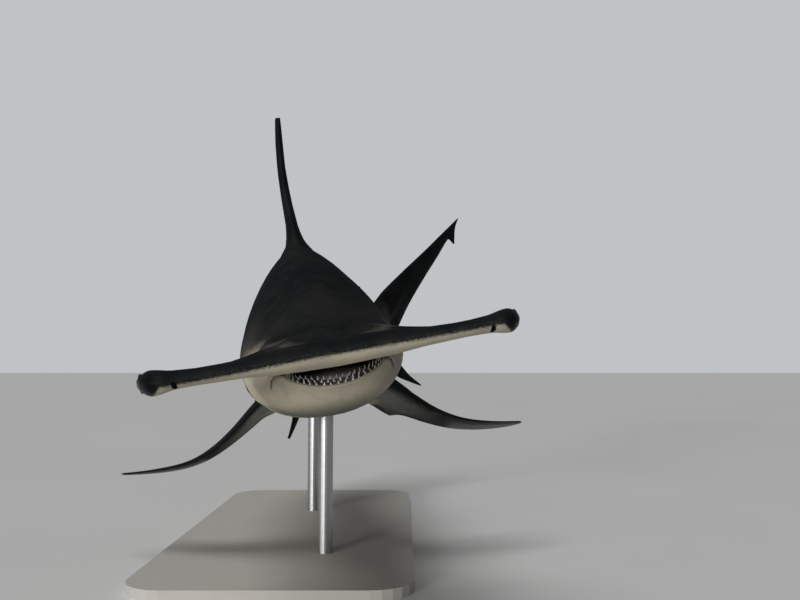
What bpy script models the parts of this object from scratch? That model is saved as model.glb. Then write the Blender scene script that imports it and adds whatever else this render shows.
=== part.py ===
# Great hammerhead shark, a still life-size display model on a plain stand.
# Metres, +Z up. The shark swims towards -Y and +X is its left side.
# The origin is the centre of the underside of the stand's base.
#
# The animal is drawn straight, in body coordinates: x to its left, u behind the snout, z up.
# A bent spine then carries every point to its place in the swimming pose.

import math

import bpy
import bmesh
import numpy as np
from mathutils import Matrix, Vector

# Driving dimensions of the animal.
TOTAL_LENGTH = 3.5
PCT = TOTAL_LENGTH / 100
HEAD_SPAN = 0.2495 * TOTAL_LENGTH

# Clearances between neighbouring solids.
GAP = 0.0003

# The pose: where the snout is, and how the spine turns behind it.
SNOUT = Vector((0.229, -1.28, 0.648))
HEADING_DEG = [(0, -10), (0.5, -10), (0.9, -9), (1.3, -8), (1.75, 3), (2.1, 25), (2.45, 33), (2.9, 34)]
PITCH_DEG = [(0, 3), (0.5, 3), (0.9, 2), (1.3, 1.8), (1.75, 1.8), (2.1, 3.5), (2.45, 10), (2.9, 11)]
ROLL_DEG = [(0, 10.2), (0.5, 10.2), (0.9, 10), (1.3, 8), (1.75, 4), (2.1, -3), (2.45, -7), (2.9, -8)]
SPINE_STEP = 0.01
SPINE_END = 3.6

# Body outline in percent of the total length: distance behind the snout, then the size there.
BACK_LINE = [(3.5, 1.2), (6, 2.1), (9, 3.4), (12, 4.7), (16, 6.3), (20, 7.7), (26, 9.3), (32, 9.8), (38, 9.5),
             (46, 8.4), (54, 7.3), (62, 6.0), (69, 4.8), (72, 5.2), (76, 6.9), (79, 8.6)]
BELLY_LINE = [(3.5, -1.0), (8, -1.3), (10, -2.6), (12, -4.6), (14, -5.4), (20, -6.2), (26, -6.6), (34, -6.5),
              (42, -5.8), (50, -4.7), (58, -3.0), (64, -1.4), (69, -0.1), (72, 1.3), (76, 4.8), (79, 7.6)]
HALF_WIDTH = [(3.5, 9.5), (4.5, 7.8), (6, 6.2), (8, 5.7), (12, 5.8), (16, 6.3), (22, 6.8), (28, 6.7),
              (36, 6.1), (44, 5.2), (52, 4.1), (60, 3.0), (66, 2.2), (70, 1.6), (74, 0.85), (79, 0.3)]
WIDEST_HEIGHT = [(3.5, 0.0), (8, -0.6), (14, -1.2), (22, -0.8), (34, 0.2), (46, 1.0), (58, 1.6), (69, 2.0),
                 (72, 3.0), (76, 5.8), (79, 8.1)]
BACK_POWER = [(3.5, 1.25), (8, 1.6), (14, 1.65), (24, 1.47), (36, 1.47), (50, 1.75), (79, 2.0)]
BELLY_POWER = [(3.5, 1.4), (12, 2.2), (30, 2.2), (50, 2.1), (79, 2.0)]
BODY_STATIONS = [3.6, 4.2, 5, 6, 7.2, 8.6, 10, 11.4, 12.8, 14.2, 15.6, 17, 18.5, 20, 22, 24, 26.5, 29, 31.5,
                 34, 37, 40, 43, 46, 49, 52, 55, 58, 61, 64, 66.5, 68.5, 70.2, 72, 74, 76, 78]
BODY_SIDES = 36


def through(points):
    """A smooth curve through (place, value) points that never overshoots them."""
    places, values = np.array(points, float).T
    steps = np.diff(places)
    slopes = np.diff(values) / steps
    tangents = np.concatenate([slopes[:1], np.zeros(len(steps) - 1), slopes[-1:]])
    for i in range(1, len(steps)):
        before, after = slopes[i - 1], slopes[i]
        if before * after > 0:
            tangents[i] = 2 * before * after / (before + after)

    def value(place):
        place = min(max(place, places[0]), places[-1])
        i = min(int(np.searchsorted(places, place, side="right")) - 1, len(steps) - 1)
        t = (place - places[i]) / steps[i]
        start = (1 + 2 * t) * (1 - t) ** 2 * values[i] + t * (1 - t) ** 2 * steps[i] * tangents[i]
        end = t * t * (3 - 2 * t) * values[i + 1] + t * t * (t - 1) * steps[i] * tangents[i + 1]
        return float(start + end)

    return value


heading_at = through(HEADING_DEG)
pitch_at = through(PITCH_DEG)
roll_at = through(ROLL_DEG)
back_at = through(BACK_LINE)
belly_at = through(BELLY_LINE)
half_width_at = through(HALF_WIDTH)
widest_at = through(WIDEST_HEIGHT)
back_power_at = through(BACK_POWER)
belly_power_at = through(BELLY_POWER)


def spine_axes(u):
    """Left, tailward and up directions of the body at u."""
    heading, pitch, roll = (math.radians(at(u)) for at in (heading_at, pitch_at, roll_at))
    level_left = Vector((math.cos(heading), -math.sin(heading), 0))
    level_back = Vector((math.sin(heading), math.cos(heading), 0))
    tailward = level_back * math.cos(pitch) + Vector((0, 0, math.sin(pitch)))
    level_up = level_left.cross(tailward)
    left = level_left * math.cos(roll) + level_up * math.sin(roll)
    up = level_up * math.cos(roll) - level_left * math.sin(roll)
    return left, tailward, up


def walk_spine():
    """Points of the spine, one each SPINE_STEP behind the snout."""
    points = [SNOUT.copy()]
    for i in range(round(SPINE_END / SPINE_STEP)):
        points.append(points[-1] + spine_axes((i + 0.5) * SPINE_STEP)[1] * SPINE_STEP)
    return points


SPINE = walk_spine()


def spine_point(u):
    step = min(max(int(u / SPINE_STEP), 0), len(SPINE) - 2)
    return SPINE[step].lerp(SPINE[step + 1], u / SPINE_STEP - step)


def bend(point):
    """Carries a point of the straight body (x, u, z) to its place in the pose."""
    x, u, z = point
    left, _, up = spine_axes(u)
    return spine_point(u) + left * x + up * z


def head_matrix():
    """Carries the straight head to its place; the head itself does not bend."""
    left, tailward, up = spine_axes(0)
    return Matrix.Translation(SNOUT) @ Matrix((left, tailward, up)).transposed().to_4x4()


def finish_material(name, colour, roughness, metallic=0.0):
    material = bpy.data.materials.new(name)
    material.use_nodes = True
    shader = material.node_tree.nodes["Principled BSDF"]
    shader.inputs["Base Color"].default_value = (*colour, 1)
    shader.inputs["Roughness"].default_value = roughness
    shader.inputs["Metallic"].default_value = metallic
    return material


def clear_scene():
    for obj in list(bpy.data.objects):
        bpy.data.objects.remove(obj, do_unlink=True)


def mesh_object(name, bm):
    bmesh.ops.recalc_face_normals(bm, faces=bm.faces)
    mesh = bpy.data.meshes.new(name)
    bm.to_mesh(mesh)
    bm.free()
    obj = bpy.data.objects.new(name, mesh)
    bpy.context.scene.collection.objects.link(obj)
    return obj


def loft(name, rings):
    """Closed solid through rings of points. Both faces of a thin loft get the same triangles."""
    bm = bmesh.new()
    current = [bm.verts.new(point) for point in rings[0]]
    count = len(current)
    edges = [bm.edges.new((current[i], current[(i + 1) % count])) for i in range(count)]
    bm.faces.new(current)
    for ring in rings[1:]:
        made = bmesh.ops.extrude_edge_only(bm, edges=edges)["geom"]
        twins = {tuple(v.co): v for v in made if isinstance(v, bmesh.types.BMVert)}
        following = [twins[tuple(v.co)] for v in current]
        for vert, point in zip(following, ring):
            vert.co = point
        for i in range(count):
            j = (i + 1) % count
            near, far = (current[i], following[j]) if i < count // 2 else (current[j], following[i])
            shared = [face for face in near.link_faces if far in face.verts]
            bmesh.utils.face_split(shared[0], near, far)
        current = following
        edges = [bm.edges.get((current[i], current[(i + 1) % count])) for i in range(count)]
    bm.faces.new(current)
    return mesh_object(name, bm)


def apply_modifiers(obj):
    graph = bpy.context.evaluated_depsgraph_get()
    mesh = bpy.data.meshes.new_from_object(obj.evaluated_get(graph))
    obj.modifiers.clear()
    obj.data = mesh


def combine(obj, others, operation, solver="EXACT", keep=False):
    """One Boolean of obj with the other closed solids, applied."""
    helpers = bpy.data.collections.new("helpers")
    for other in others:
        helpers.objects.link(other)
    modifier = obj.modifiers.new(operation, "BOOLEAN")
    modifier.operation = operation
    modifier.operand_type = "COLLECTION"
    modifier.collection = helpers
    modifier.solver = solver
    apply_modifiers(obj)
    bpy.data.collections.remove(helpers)
    if not keep:
        for other in others:
            bpy.data.objects.remove(other, do_unlink=True)
    return obj


def largest_body(obj):
    """Keeps only the largest closed surface of a mesh."""
    bm = bmesh.new()
    bm.from_mesh(obj.data)
    unseen = set(bm.verts)
    groups = []
    while unseen:
        stack = [unseen.pop()]
        group = set(stack)
        while stack:
            for edge in stack.pop().link_edges:
                for vert in edge.verts:
                    if vert in unseen:
                        unseen.discard(vert)
                        group.add(vert)
                        stack.append(vert)
        groups.append(group)
    groups.sort(key=len)
    loose = [vert for group in groups[:-1] for vert in group]
    bmesh.ops.delete(bm, geom=loose, context="VERTS")
    bm.to_mesh(obj.data)
    bm.free()
    return obj


def copy_of(obj, name):
    twin = bpy.data.objects.new(name, obj.data.copy())
    bpy.context.scene.collection.objects.link(twin)
    return twin


def slice_off(obj, point, normal):
    """Removes what lies on the normal's side of a plane and closes the cut."""
    bm = bmesh.new()
    bm.from_mesh(obj.data)
    cut = bmesh.ops.bisect_plane(bm, geom=bm.verts[:] + bm.edges[:] + bm.faces[:], plane_co=point,
                                 plane_no=normal, clear_outer=True, dist=1e-6)
    edges = [item for item in cut["geom_cut"] if isinstance(item, bmesh.types.BMEdge)]
    bmesh.ops.triangle_fill(bm, edges=edges, use_beauty=True, normal=normal)
    bmesh.ops.recalc_face_normals(bm, faces=bm.faces)
    bm.to_mesh(obj.data)
    bm.free()
    return obj


def between(whole, name, front=None, back=None):
    """The stretch of the body between two stations, each cut square to the spine."""
    piece = copy_of(whole, name)
    if front is not None:
        slice_off(piece, spine_point(front) - spine_axes(front)[1] * (-GAP / 2), -spine_axes(front)[1])
    if back is not None:
        slice_off(piece, spine_point(back) - spine_axes(back)[1] * (GAP / 2), spine_axes(back)[1])
    return largest_body(piece)


def body_point(station, angle, grow=0.0):
    """A point of the trunk's surface: a station in percent of the length, an angle from the left side."""
    side, height = math.cos(angle), math.sin(angle)
    widest = widest_at(station)
    power = (back_power_at if height >= 0 else belly_power_at)(station)
    reach = (back_at if height >= 0 else belly_at)(station) - widest
    x = half_width_at(station) * math.copysign(abs(side) ** (2 / power), side)
    z = widest + reach * abs(height) ** (2 / power)
    length = math.hypot(x, z - widest)
    scale = 1 + grow / PCT / length if length else 1
    return x * scale * PCT, station * PCT, (widest + (z - widest) * scale) * PCT


def body_ring(station, grow=0.0):
    return [bend(body_point(station, 2 * math.pi * i / BODY_SIDES, grow)) for i in range(BODY_SIDES)]


def trunk_loft(name, grow=0.0):
    return loft(name, [body_ring(station, grow) for station in BODY_STATIONS])


# The hammer, a thick foil across the snout. Distances from the middle are shares of the half span.
HAMMER_HALF = HEAD_SPAN / 2
HAMMER_FRONT = [(0, 0.012), (0.12, 0.002), (0.3, 0), (0.55, 0.006), (0.74, 0.012), (0.8, 0.019),
                (0.86, 0.014), (0.93, 0.026), (1, 0.05)]
HAMMER_REAR = [(0, 0.25), (0.35, 0.235), (0.5, 0.182), (0.65, 0.172), (0.85, 0.178), (0.95, 0.17), (1, 0.14)]
HAMMER_THICK = [(0, 0.066), (0.3, 0.056), (0.5, 0.041), (0.68, 0.037), (0.82, 0.042), (0.93, 0.057),
                (1, 0.05)]
HAMMER_DROOP = [(0, 0), (0.5, 0), (1, 0.003)]
HAMMER_STATIONS = 16
HAMMER_SECTION = 11
HAMMER_EDGE = 0.006
HAMMER_ROUND_FROM = 0.93

hammer_front_at = through(HAMMER_FRONT)
hammer_rear_at = through(HAMMER_REAR)
hammer_thick_at = through(HAMMER_THICK)
hammer_droop_at = through(HAMMER_DROOP)


def foil_half(share):
    """Half thickness of a foil, as a share of its full half thickness, at a share of its chord."""
    s = share
    return (0.2969 * math.sqrt(s) - 0.126 * s - 0.3516 * s * s + 0.2843 * s ** 3 - 0.1036 * s ** 4) / 0.1


def foil_ring(front, rear, thick, edge, count):
    """(chord, offset) pairs round a foil, leading edge first, over the upper face and back under."""
    shares = [(1 - math.cos(math.pi * i / count)) / 2 for i in range(count + 1)]
    upper = []
    for share in shares:
        offset = foil_half(share) * (thick - edge) / 2 + edge / 2 * min(1, 4 * share)
        upper.append((front + (rear - front) * share, offset))
    return upper + [(chord, -offset) for chord, offset in upper[:0:-1]]


def hammer_ring(share):
    """Section of the hammer at a signed share of its half span."""
    away = abs(share)
    front, rear = hammer_front_at(away), hammer_rear_at(away)
    thick = hammer_thick_at(away)
    if away > HAMMER_ROUND_FROM:
        t = (away - HAMMER_ROUND_FROM) / (1 - HAMMER_ROUND_FROM)
        shrink = math.sqrt(max(1 - t * t, 0.03))
        middle = (front + rear) / 2
        front, rear = middle + (front - middle) * shrink ** 0.6, middle + (rear - middle) * shrink ** 0.6
        thick *= shrink
    x = share * HAMMER_HALF
    z = hammer_droop_at(away)
    ring = foil_ring(front, rear, thick, HAMMER_EDGE, HAMMER_SECTION)
    return [bend((x, chord, z + offset)) for chord, offset in ring]


def hammer_loft(name):
    turns = [math.pi / 2 * i / HAMMER_STATIONS for i in range(-HAMMER_STATIONS, HAMMER_STATIONS + 1)]
    return loft(name, [hammer_ring(math.sin(turn)) for turn in turns])


# The jaw bowl: the lower head, a half egg under the hammer.
BOWL_CENTRE = Vector((0, 0.43, -0.035))
BOWL_RADII = Vector((0.208, 0.215, 0.148))
BOWL_RINGS = 12
BOWL_SIDES = 28


def bowl_solid(name):
    bm = bmesh.new()
    bmesh.ops.create_uvsphere(bm, u_segments=BOWL_SIDES, v_segments=BOWL_RINGS, radius=1)
    for vert in bm.verts:
        vert.co = bend(BOWL_CENTRE + Vector(vert.co[i] * BOWL_RADII[i] for i in range(3)))
    bmesh.ops.triangulate(bm, faces=bm.faces)
    return mesh_object(name, bm)


def bowl_front(x, z):
    """How far behind the snout the front of the bowl is at x and z."""
    share = (x / BOWL_RADII.x) ** 2 + ((z - BOWL_CENTRE.z) / BOWL_RADII.z) ** 2
    return BOWL_CENTRE.y - BOWL_RADII.y * math.sqrt(max(1 - share, 0.0))


# The mouth, an open crescent in the front of the bowl.
MOUTH_HALF = 0.148
MOUTH_TOP = -0.040
MOUTH_DROP = 0.056
MOUTH_BACK = 0.41
MOUTH_SIDES = 16


def lip_height(x):
    """Height of the lower lip at x."""
    return MOUTH_TOP - 0.004 - MOUTH_DROP * max(1 - (x / MOUTH_HALF) ** 2, 0) ** 0.75


def mouth_cutter(name):
    rings = []
    for u, size in ((0.12, 1.0), (0.30, 1.0), (0.36, 0.93), (MOUTH_BACK, 0.7)):
        xs = [MOUTH_HALF * size * math.cos(math.pi * i / MOUTH_SIDES) for i in range(MOUTH_SIDES + 1)]
        low = [(x, u, MOUTH_TOP + (lip_height(x / size) - MOUTH_TOP) * size) for x in xs]
        high = [(x, u, MOUTH_TOP) for x in xs[-2:0:-1]]
        rings.append([bend(point) for point in low + high])
    return loft(name, rings)


# The gum: a ridge just inside the lower lip that carries the tooth rows.
GUM_RISE = 0.026
GUM_DEPTH = 0.030
GUM_STEPS = 24


def gum_frame(x):
    """Foot of the gum at the lip, its inward direction and its size there."""
    z = lip_height(x)
    room = (MOUTH_TOP - z) / (MOUTH_DROP + 0.004)
    slope = (bowl_front(x + 0.002, z) - bowl_front(x - 0.002, z)) / 0.004
    inward = Vector((-slope, 1, 0)).normalized()
    return Vector((x, bowl_front(x, z), z)), inward, room


def gum_ridge(name):
    rings = []
    for i in range(GUM_STEPS + 1):
        x = 0.94 * MOUTH_HALF * math.sin(math.pi / 2 * (2 * i / GUM_STEPS - 1))
        foot, inward, room = gum_frame(x)
        rise, depth = GUM_RISE * room + 0.002, GUM_DEPTH * (0.35 + 0.65 * room)
        profile = [(0.005, -0.012), (0.005, 0.001), (0.006 + depth * 0.5, rise * 0.62), (0.006 + depth, rise),
                   (0.010 + depth * 1.15, rise * 0.8), (0.010 + depth * 1.3, -0.012)]
        rings.append([bend(foot + inward * run + Vector((0, 0, lift))) for run, lift in profile])
    return loft(name, rings)


# The lower lip, a rounded rim along the edge of the mouth, and the furrow below each corner.
LIP_RADIUS = 0.0055
LIP_STEPS = 20
LIP_SIDES = 6
LIP_SET_IN = 0.002
LIP_LOW = 0.003
FURROW_PATH = ((0.138, -0.043), (0.148, -0.052), (0.153, -0.066), (0.152, -0.082))
FURROW_WIDTH = 0.006
FURROW_DEPTH = 0.005
FURROW_CLEAR = 0.004


def lower_lip(name):
    rings = []
    for i in range(LIP_STEPS + 1):
        x = 0.95 * MOUTH_HALF * math.sin(math.pi / 2 * (2 * i / LIP_STEPS - 1))
        foot, inward, _ = gum_frame(x)
        ring = []
        for k in range(LIP_SIDES):
            angle = 2 * math.pi * k / LIP_SIDES
            run, rise = LIP_SET_IN + LIP_RADIUS * math.cos(angle), LIP_RADIUS * math.sin(angle) - LIP_LOW
            ring.append(bend(foot + inward * run + Vector((0, 0, rise))))
        rings.append(ring)
    return loft(name, rings)


def furrow(name, side):
    """A wedge that cuts the furrow below a corner of the mouth."""
    inward = gum_frame(side * FURROW_PATH[0][0])[1]
    half_width = Vector((inward.y, -inward.x, 0)).normalized() * FURROW_WIDTH / 2
    rings = []
    for x, z in FURROW_PATH:
        foot = Vector((side * x, bowl_front(x, z), z))
        outside = foot - inward * FURROW_CLEAR
        corners = (outside + half_width, foot + inward * FURROW_DEPTH, outside - half_width)
        rings.append([bend(corner) for corner in corners])
    return loft(name, rings)


TOOTH_HEIGHT = 0.013
TOOTH_WIDTH = 0.011
LOWER_ROWS = (0.10, 0.62)
LOWER_TEETH = 17


def cone(name, foot, axis, side, width, height, sunk):
    """A flattened four-sided tooth standing on foot, pointing along axis."""
    half_width = side * width / 2
    half_thick = axis.cross(side).normalized() * width / 3
    root = foot - axis * sunk
    bm = bmesh.new()
    base = (root + half_width, root + half_thick, root - half_width, root - half_thick)
    corners = [bm.verts.new(bend(point)) for point in base]
    bm.faces.new(corners)
    tip = bmesh.ops.extrude_face_region(bm, geom=bm.faces[:])["geom"]
    top = [item for item in tip if isinstance(item, bmesh.types.BMVert)]
    bmesh.ops.pointmerge(bm, verts=top, merge_co=bend(foot + axis * height))
    return mesh_object(name, bm)


UPPER_TEETH = 15
UPPER_SET_BACK = 0.030
UPPER_SUNK = 0.004
LOWER_SUNK = 0.005


def upper_teeth():
    teeth = []
    for i in range(UPPER_TEETH):
        x = 0.80 * MOUTH_HALF * math.sin(math.pi / 2 * (2 * (i + 0.5) / UPPER_TEETH - 1))
        foot, inward, room = gum_frame(x)
        spot = Vector((x, bowl_front(x, MOUTH_TOP), MOUTH_TOP)) + inward * UPPER_SET_BACK
        side = inward.cross(Vector((0, 0, 1))).normalized()
        width, height = (value * (0.5 + 0.4 * room) for value in (TOOTH_WIDTH, TOOTH_HEIGHT))
        teeth.append(cone(f"upper_tooth_{i}", spot, Vector((0, 0, -1)), side, width, height, UPPER_SUNK))
    return teeth


def lower_teeth():
    teeth = []
    for row, share in enumerate(LOWER_ROWS):
        for i in range(LOWER_TEETH):
            across = (i + 0.5 + 0.5 * (row % 2)) / (LOWER_TEETH + 0.5 * (row % 2)) * 2 - 1
            if abs(across) > 0.97:
                continue
            x = 0.9 * MOUTH_HALF * math.sin(math.pi / 2 * across)
            foot, inward, room = gum_frame(x)
            rise, depth = GUM_RISE * room + 0.002, GUM_DEPTH * (0.35 + 0.65 * room)
            foot = foot + inward * (0.006 + depth * share) + Vector((0, 0, rise * min(share * 1.24, 1)))
            axis = (Vector((0, 0, 1)) - inward * 0.35).normalized()
            side = inward.cross(Vector((0, 0, 1))).normalized()
            width, height = (value * (0.55 + 0.45 * room) for value in (TOOTH_WIDTH, TOOTH_HEIGHT))
            teeth.append(cone(f"tooth_{row}_{i}", foot, axis, side, width, height, LOWER_SUNK))
    return teeth


# Eyes at the ends of the hammer, with a raised lid round each.
EYE_CENTRE = Vector((HAMMER_HALF - 0.017, 0.088, 0.004))
EYE_RADIUS = 0.021
LID_RADIUS = 0.0185
LID_THICKNESS = 0.0045
LID_OUT = 0.0115


def head_sphere(name, centre, radii, segments=16, rings=10):
    """An ellipsoid in the head's straight coordinates."""
    bm = bmesh.new()
    bmesh.ops.create_uvsphere(bm, u_segments=segments, v_segments=rings, radius=1)
    bmesh.ops.scale(bm, vec=radii, verts=bm.verts)
    bmesh.ops.translate(bm, vec=centre, verts=bm.verts)
    bmesh.ops.transform(bm, matrix=head_matrix(), verts=bm.verts)
    bmesh.ops.triangulate(bm, faces=bm.faces)
    return mesh_object(name, bm)


def eye_ball(name, side, grow=0.0):
    centre = Vector((side * EYE_CENTRE.x, EYE_CENTRE.y, EYE_CENTRE.z))
    radius = EYE_RADIUS + grow
    return head_sphere(name, centre, (radius, radius, radius))


def eye_lid(name, side):
    bm = bmesh.new()
    bmesh.ops.create_circle(bm, segments=6, radius=LID_THICKNESS)
    place = Matrix.Translation((LID_RADIUS, 0, 0)) @ Matrix.Rotation(math.pi / 2, 4, "X")
    bmesh.ops.transform(bm, matrix=place, verts=bm.verts)
    bmesh.ops.spin(bm, geom=bm.verts[:] + bm.edges[:], cent=(0, 0, 0), axis=(0, 0, 1), angle=2 * math.pi,
                   steps=16, use_merge=True)
    bmesh.ops.remove_doubles(bm, verts=bm.verts, dist=1e-6)
    centre = Vector((side * (EYE_CENTRE.x + LID_OUT), EYE_CENTRE.y, EYE_CENTRE.z))
    turn = Matrix.Translation(centre) @ Matrix.Rotation(math.pi / 2, 4, "Y")
    bmesh.ops.transform(bm, matrix=head_matrix() @ turn, verts=bm.verts)
    return mesh_object(name, bm)


# Nostrils, a slot in the front edge near each end of the hammer.
NOSTRIL_SHARE = 0.835
NOSTRIL_RADII = (0.006, 0.020, 0.011)
NOSTRIL_LOW = -0.012


def nostril(name, side):
    front = hammer_front_at(NOSTRIL_SHARE)
    return head_sphere(name, (side * NOSTRIL_SHARE * HAMMER_HALF, front, NOSTRIL_LOW), NOSTRIL_RADII, 12, 8)


# Gill slits, five on each side, longer in the middle.
GILL_STATIONS = (14.6, 15.9, 17.2, 18.5, 19.8)
GILL_LOW_DEG = (-40, -38, -36, -32, -26)
GILL_HIGH_DEG = (24, 30, 32, 32, 28)
GILL_WIDTH = 0.16
GILL_DEPTH = 0.008
GILL_CLEAR = 0.006
GILL_STEPS = 7


def gill_slit(name, index, side):
    rings = []
    for i in range(GILL_STEPS + 1):
        share = i / GILL_STEPS
        angle = math.radians(GILL_LOW_DEG[index] * (1 - share) + GILL_HIGH_DEG[index] * share)
        station = GILL_STATIONS[index] + 0.9 * (share - 0.5) ** 2
        depth = GILL_DEPTH * max(math.sin(math.pi * share), 0.15)
        corners = (body_point(station - GILL_WIDTH / 2, angle, GILL_CLEAR),
                   body_point(station + GILL_WIDTH / 2, angle, GILL_CLEAR),
                   body_point(station + GILL_WIDTH, angle, -depth))
        rings.append([bend((side * x, u, z)) for x, u, z in corners])
    return loft(name, rings)


# Fins. Each outline is read at a share of the fin's height: front and rear edge as shares of its base length.
FIN_EDGE = 0.003
FIN_SIDES = 9


def fin_shares(count, sunk):
    """Shares of the height, closer together near the tip and the root, starting below the skin."""
    return [-sunk] + [(1 - math.cos(math.pi * (i / count) ** 0.9)) / 2 for i in range(count + 1)]


def fin_solid(name, fin, place):
    """Lofts a fin from its outline; place carries (chord, share of height, offset) to the straight body."""
    front, rear, thick = (through(fin[key]) for key in ("front", "rear", "thick"))
    rings = []
    for share in fin_shares(fin["rings"], fin["sunk"]):
        base = max(share, 0)
        first, last = front(base) * fin["base"], rear(base) * fin["base"]
        ring = foil_ring(first, last, thick(base), min(FIN_EDGE, thick(base) * 0.7), FIN_SIDES)
        rings.append([bend(place(chord, share, offset)) for chord, offset in ring])
    return loft(name, rings)


FIRST_DORSAL = {
    "origin": 0.885, "base": 0.36, "height": 0.518, "sunk": 0.16, "rings": 12, "lean": -0.004, "twist": -0.06,
    "front": [(0, 0.0), (0.05, 0.07), (0.2, 0.26), (0.45, 0.53), (0.7, 0.76), (0.9, 0.95), (1, 1.09)],
    "rear": [(0, 1.02), (0.04, 1.42), (0.07, 1.36), (0.16, 1.04), (0.3, 0.98), (0.5, 1.0), (0.75, 1.1),
             (0.92, 1.16), (1, 1.15)],
    "thick": [(0, 0.080), (0.05, 0.054), (0.15, 0.041), (0.5, 0.031), (0.85, 0.021), (1, 0.010)],
}


def median_place(fin, line, sign):
    """Places a fin that stands on the midline of the back or the belly."""
    def place(chord, share, offset):
        u = fin["origin"] + chord
        anchor = fin["origin"] + min(chord, fin["base"])
        root = line(anchor / PCT) * PCT
        flex = fin["lean"] * share * max(share, 0) + fin["twist"] * (chord - fin["base"]) * max(share, 0)
        return offset + flex, u, root + sign * fin["height"] * share
    return place


SECOND_DORSAL = {
    "origin": 2.10, "base": 0.15, "height": 0.08, "sunk": 0.2, "rings": 8, "lean": 0.0, "twist": 0.0,
    "front": [(0, 0.0), (0.2, 0.3), (0.5, 0.66), (0.8, 0.93), (1, 1.12)],
    "rear": [(0, 1.02), (0.05, 1.53), (0.1, 1.48), (0.22, 1.25), (0.4, 1.12), (0.7, 1.14), (1, 1.22)],
    "thick": [(0, 0.034), (0.08, 0.024), (0.3, 0.016), (0.85, 0.009), (1, 0.006)],
}

ANAL = {
    "origin": 2.0, "base": 0.22, "height": 0.16, "sunk": 0.2, "rings": 8, "lean": 0.0, "twist": 0.0,
    "front": [(0, 0.0), (0.2, 0.24), (0.5, 0.54), (0.8, 0.82), (1, 1.0)],
    "rear": [(0, 1.02), (0.05, 1.55), (0.1, 1.48), (0.22, 1.02), (0.4, 0.88), (0.7, 0.95), (1, 1.09)],
    "thick": [(0, 0.034), (0.08, 0.024), (0.3, 0.016), (0.85, 0.009), (1, 0.006)],
}

PECTORAL = {
    "base": 0.21, "height": 0.536, "sunk": 0.2, "rings": 12,
    "front": [(0, 0), (0.1, 0.06), (0.3, 0.24), (0.5, 0.47), (0.7, 0.75), (0.85, 1.05), (0.95, 1.32),
              (1, 1.5)],
    "rear": [(0, 1.02), (0.08, 1.3), (0.16, 1.68), (0.21, 1.5), (0.29, 1.24), (0.4, 1.14), (0.6, 1.2),
             (0.8, 1.36), (0.95, 1.53), (1, 1.56)],
    "thick": [(0, 0.058), (0.06, 0.046), (0.2, 0.032), (0.5, 0.022), (0.85, 0.011), (1, 0.006)],
}
PECTORAL_ROOT = Vector((0.17, 0.69, -0.115))
PECTORAL_DROOP = {-1: [(0, 35), (0.2, 35.5), (0.45, 23), (0.7, -3), (1, -11)],
                  1: [(0, 30), (0.2, 38.5), (0.45, 25.5), (0.7, 6), (1, -9)]}
PECTORAL_PITCH = {-1: 13, 1: 20.5}

PELVIC = {
    "base": 0.19, "height": 0.25, "sunk": 0.18, "rings": 9,
    "front": [(0, 0.0), (0.2, 0.2), (0.5, 0.5), (0.8, 0.8), (1, 0.98)],
    "rear": [(0, 1.02), (0.08, 1.5), (0.16, 1.4), (0.3, 1.02), (0.5, 0.9), (0.75, 0.97), (1, 1.08)],
    "thick": [(0, 0.034), (0.08, 0.026), (0.3, 0.017), (0.85, 0.009), (1, 0.006)],
}
PELVIC_ROOT = Vector((0.082, 1.64, -0.142))
PELVIC_DROOP = {-1: [(0, 72), (1, 60)], 1: [(0, 30), (1, 22)]}
PELVIC_PITCH = {-1: 15, 1: 10}


def paired_place(fin, root, droop_points, pitch, side):
    """Places a fin that stands out from the flank and droops along its length."""
    droop = through(droop_points)
    steps = 40
    path = [Vector((0, 0, 0))]
    for i in range(steps):
        angle = math.radians(droop((i + 0.5) / steps))
        path.append(path[-1] + Vector((math.cos(angle), 0, -math.sin(angle))) * fin["height"] / steps)
    start = math.radians(droop(0))

    def place(chord, share, offset):
        if share <= 0:
            along, angle = Vector((math.cos(start), 0, -math.sin(start))) * fin["height"] * share, start
        else:
            spot = min(share * steps, steps - 1e-6)
            along = path[int(spot)].lerp(path[int(spot) + 1], spot - int(spot))
            angle = math.radians(droop(share))
        outward = Vector((math.cos(angle), 0, -math.sin(angle)))
        flat_up = Vector((math.sin(angle), 0, math.cos(angle)))
        tilt = math.radians(pitch)
        back = Vector((0, math.cos(tilt), 0)) - flat_up * math.sin(tilt)
        up = outward.cross(back)
        spot = root + along + back * chord + up * offset
        return side * spot.x, spot.y, spot.z
    return place


# The tail fin: two blades from the end of the spine.
UPPER_LOBE = {
    "length": 0.975, "angle": 31, "rings": 17,
    "front": [(0, -0.088), (0.12, -0.100), (0.3, -0.084), (0.6, -0.046), (0.85, -0.018), (1, 0.0)],
    "rear": [(0, 0.145), (0.08, 0.17), (0.16, 0.15), (0.3, 0.112), (0.5, 0.082), (0.7, 0.060), (0.835, 0.043),
             (0.855, 0.052), (0.89, 0.112), (0.905, 0.085), (0.935, 0.040), (0.965, 0.018), (1, 0.006)],
    "thick": [(0, 0.075), (0.1, 0.050), (0.3, 0.034), (0.6, 0.020), (0.9, 0.010), (1, 0.006)],
}
LOWER_LOBE = {
    "length": 0.62, "angle": -43, "rings": 10,
    "front": [(0, -0.085), (0.15, -0.112), (0.35, -0.118), (0.6, -0.092), (0.8, -0.05), (1, -0.004)],
    "rear": [(0, 0.12), (0.15, 0.03), (0.4, -0.03), (0.7, -0.025), (1, 0.004)],
    "thick": [(0, 0.040), (0.15, 0.028), (0.5, 0.016), (0.9, 0.008), (1, 0.006)],
}
CAUDAL_ROOT = Vector((0, 2.43, 0.065))


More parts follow.
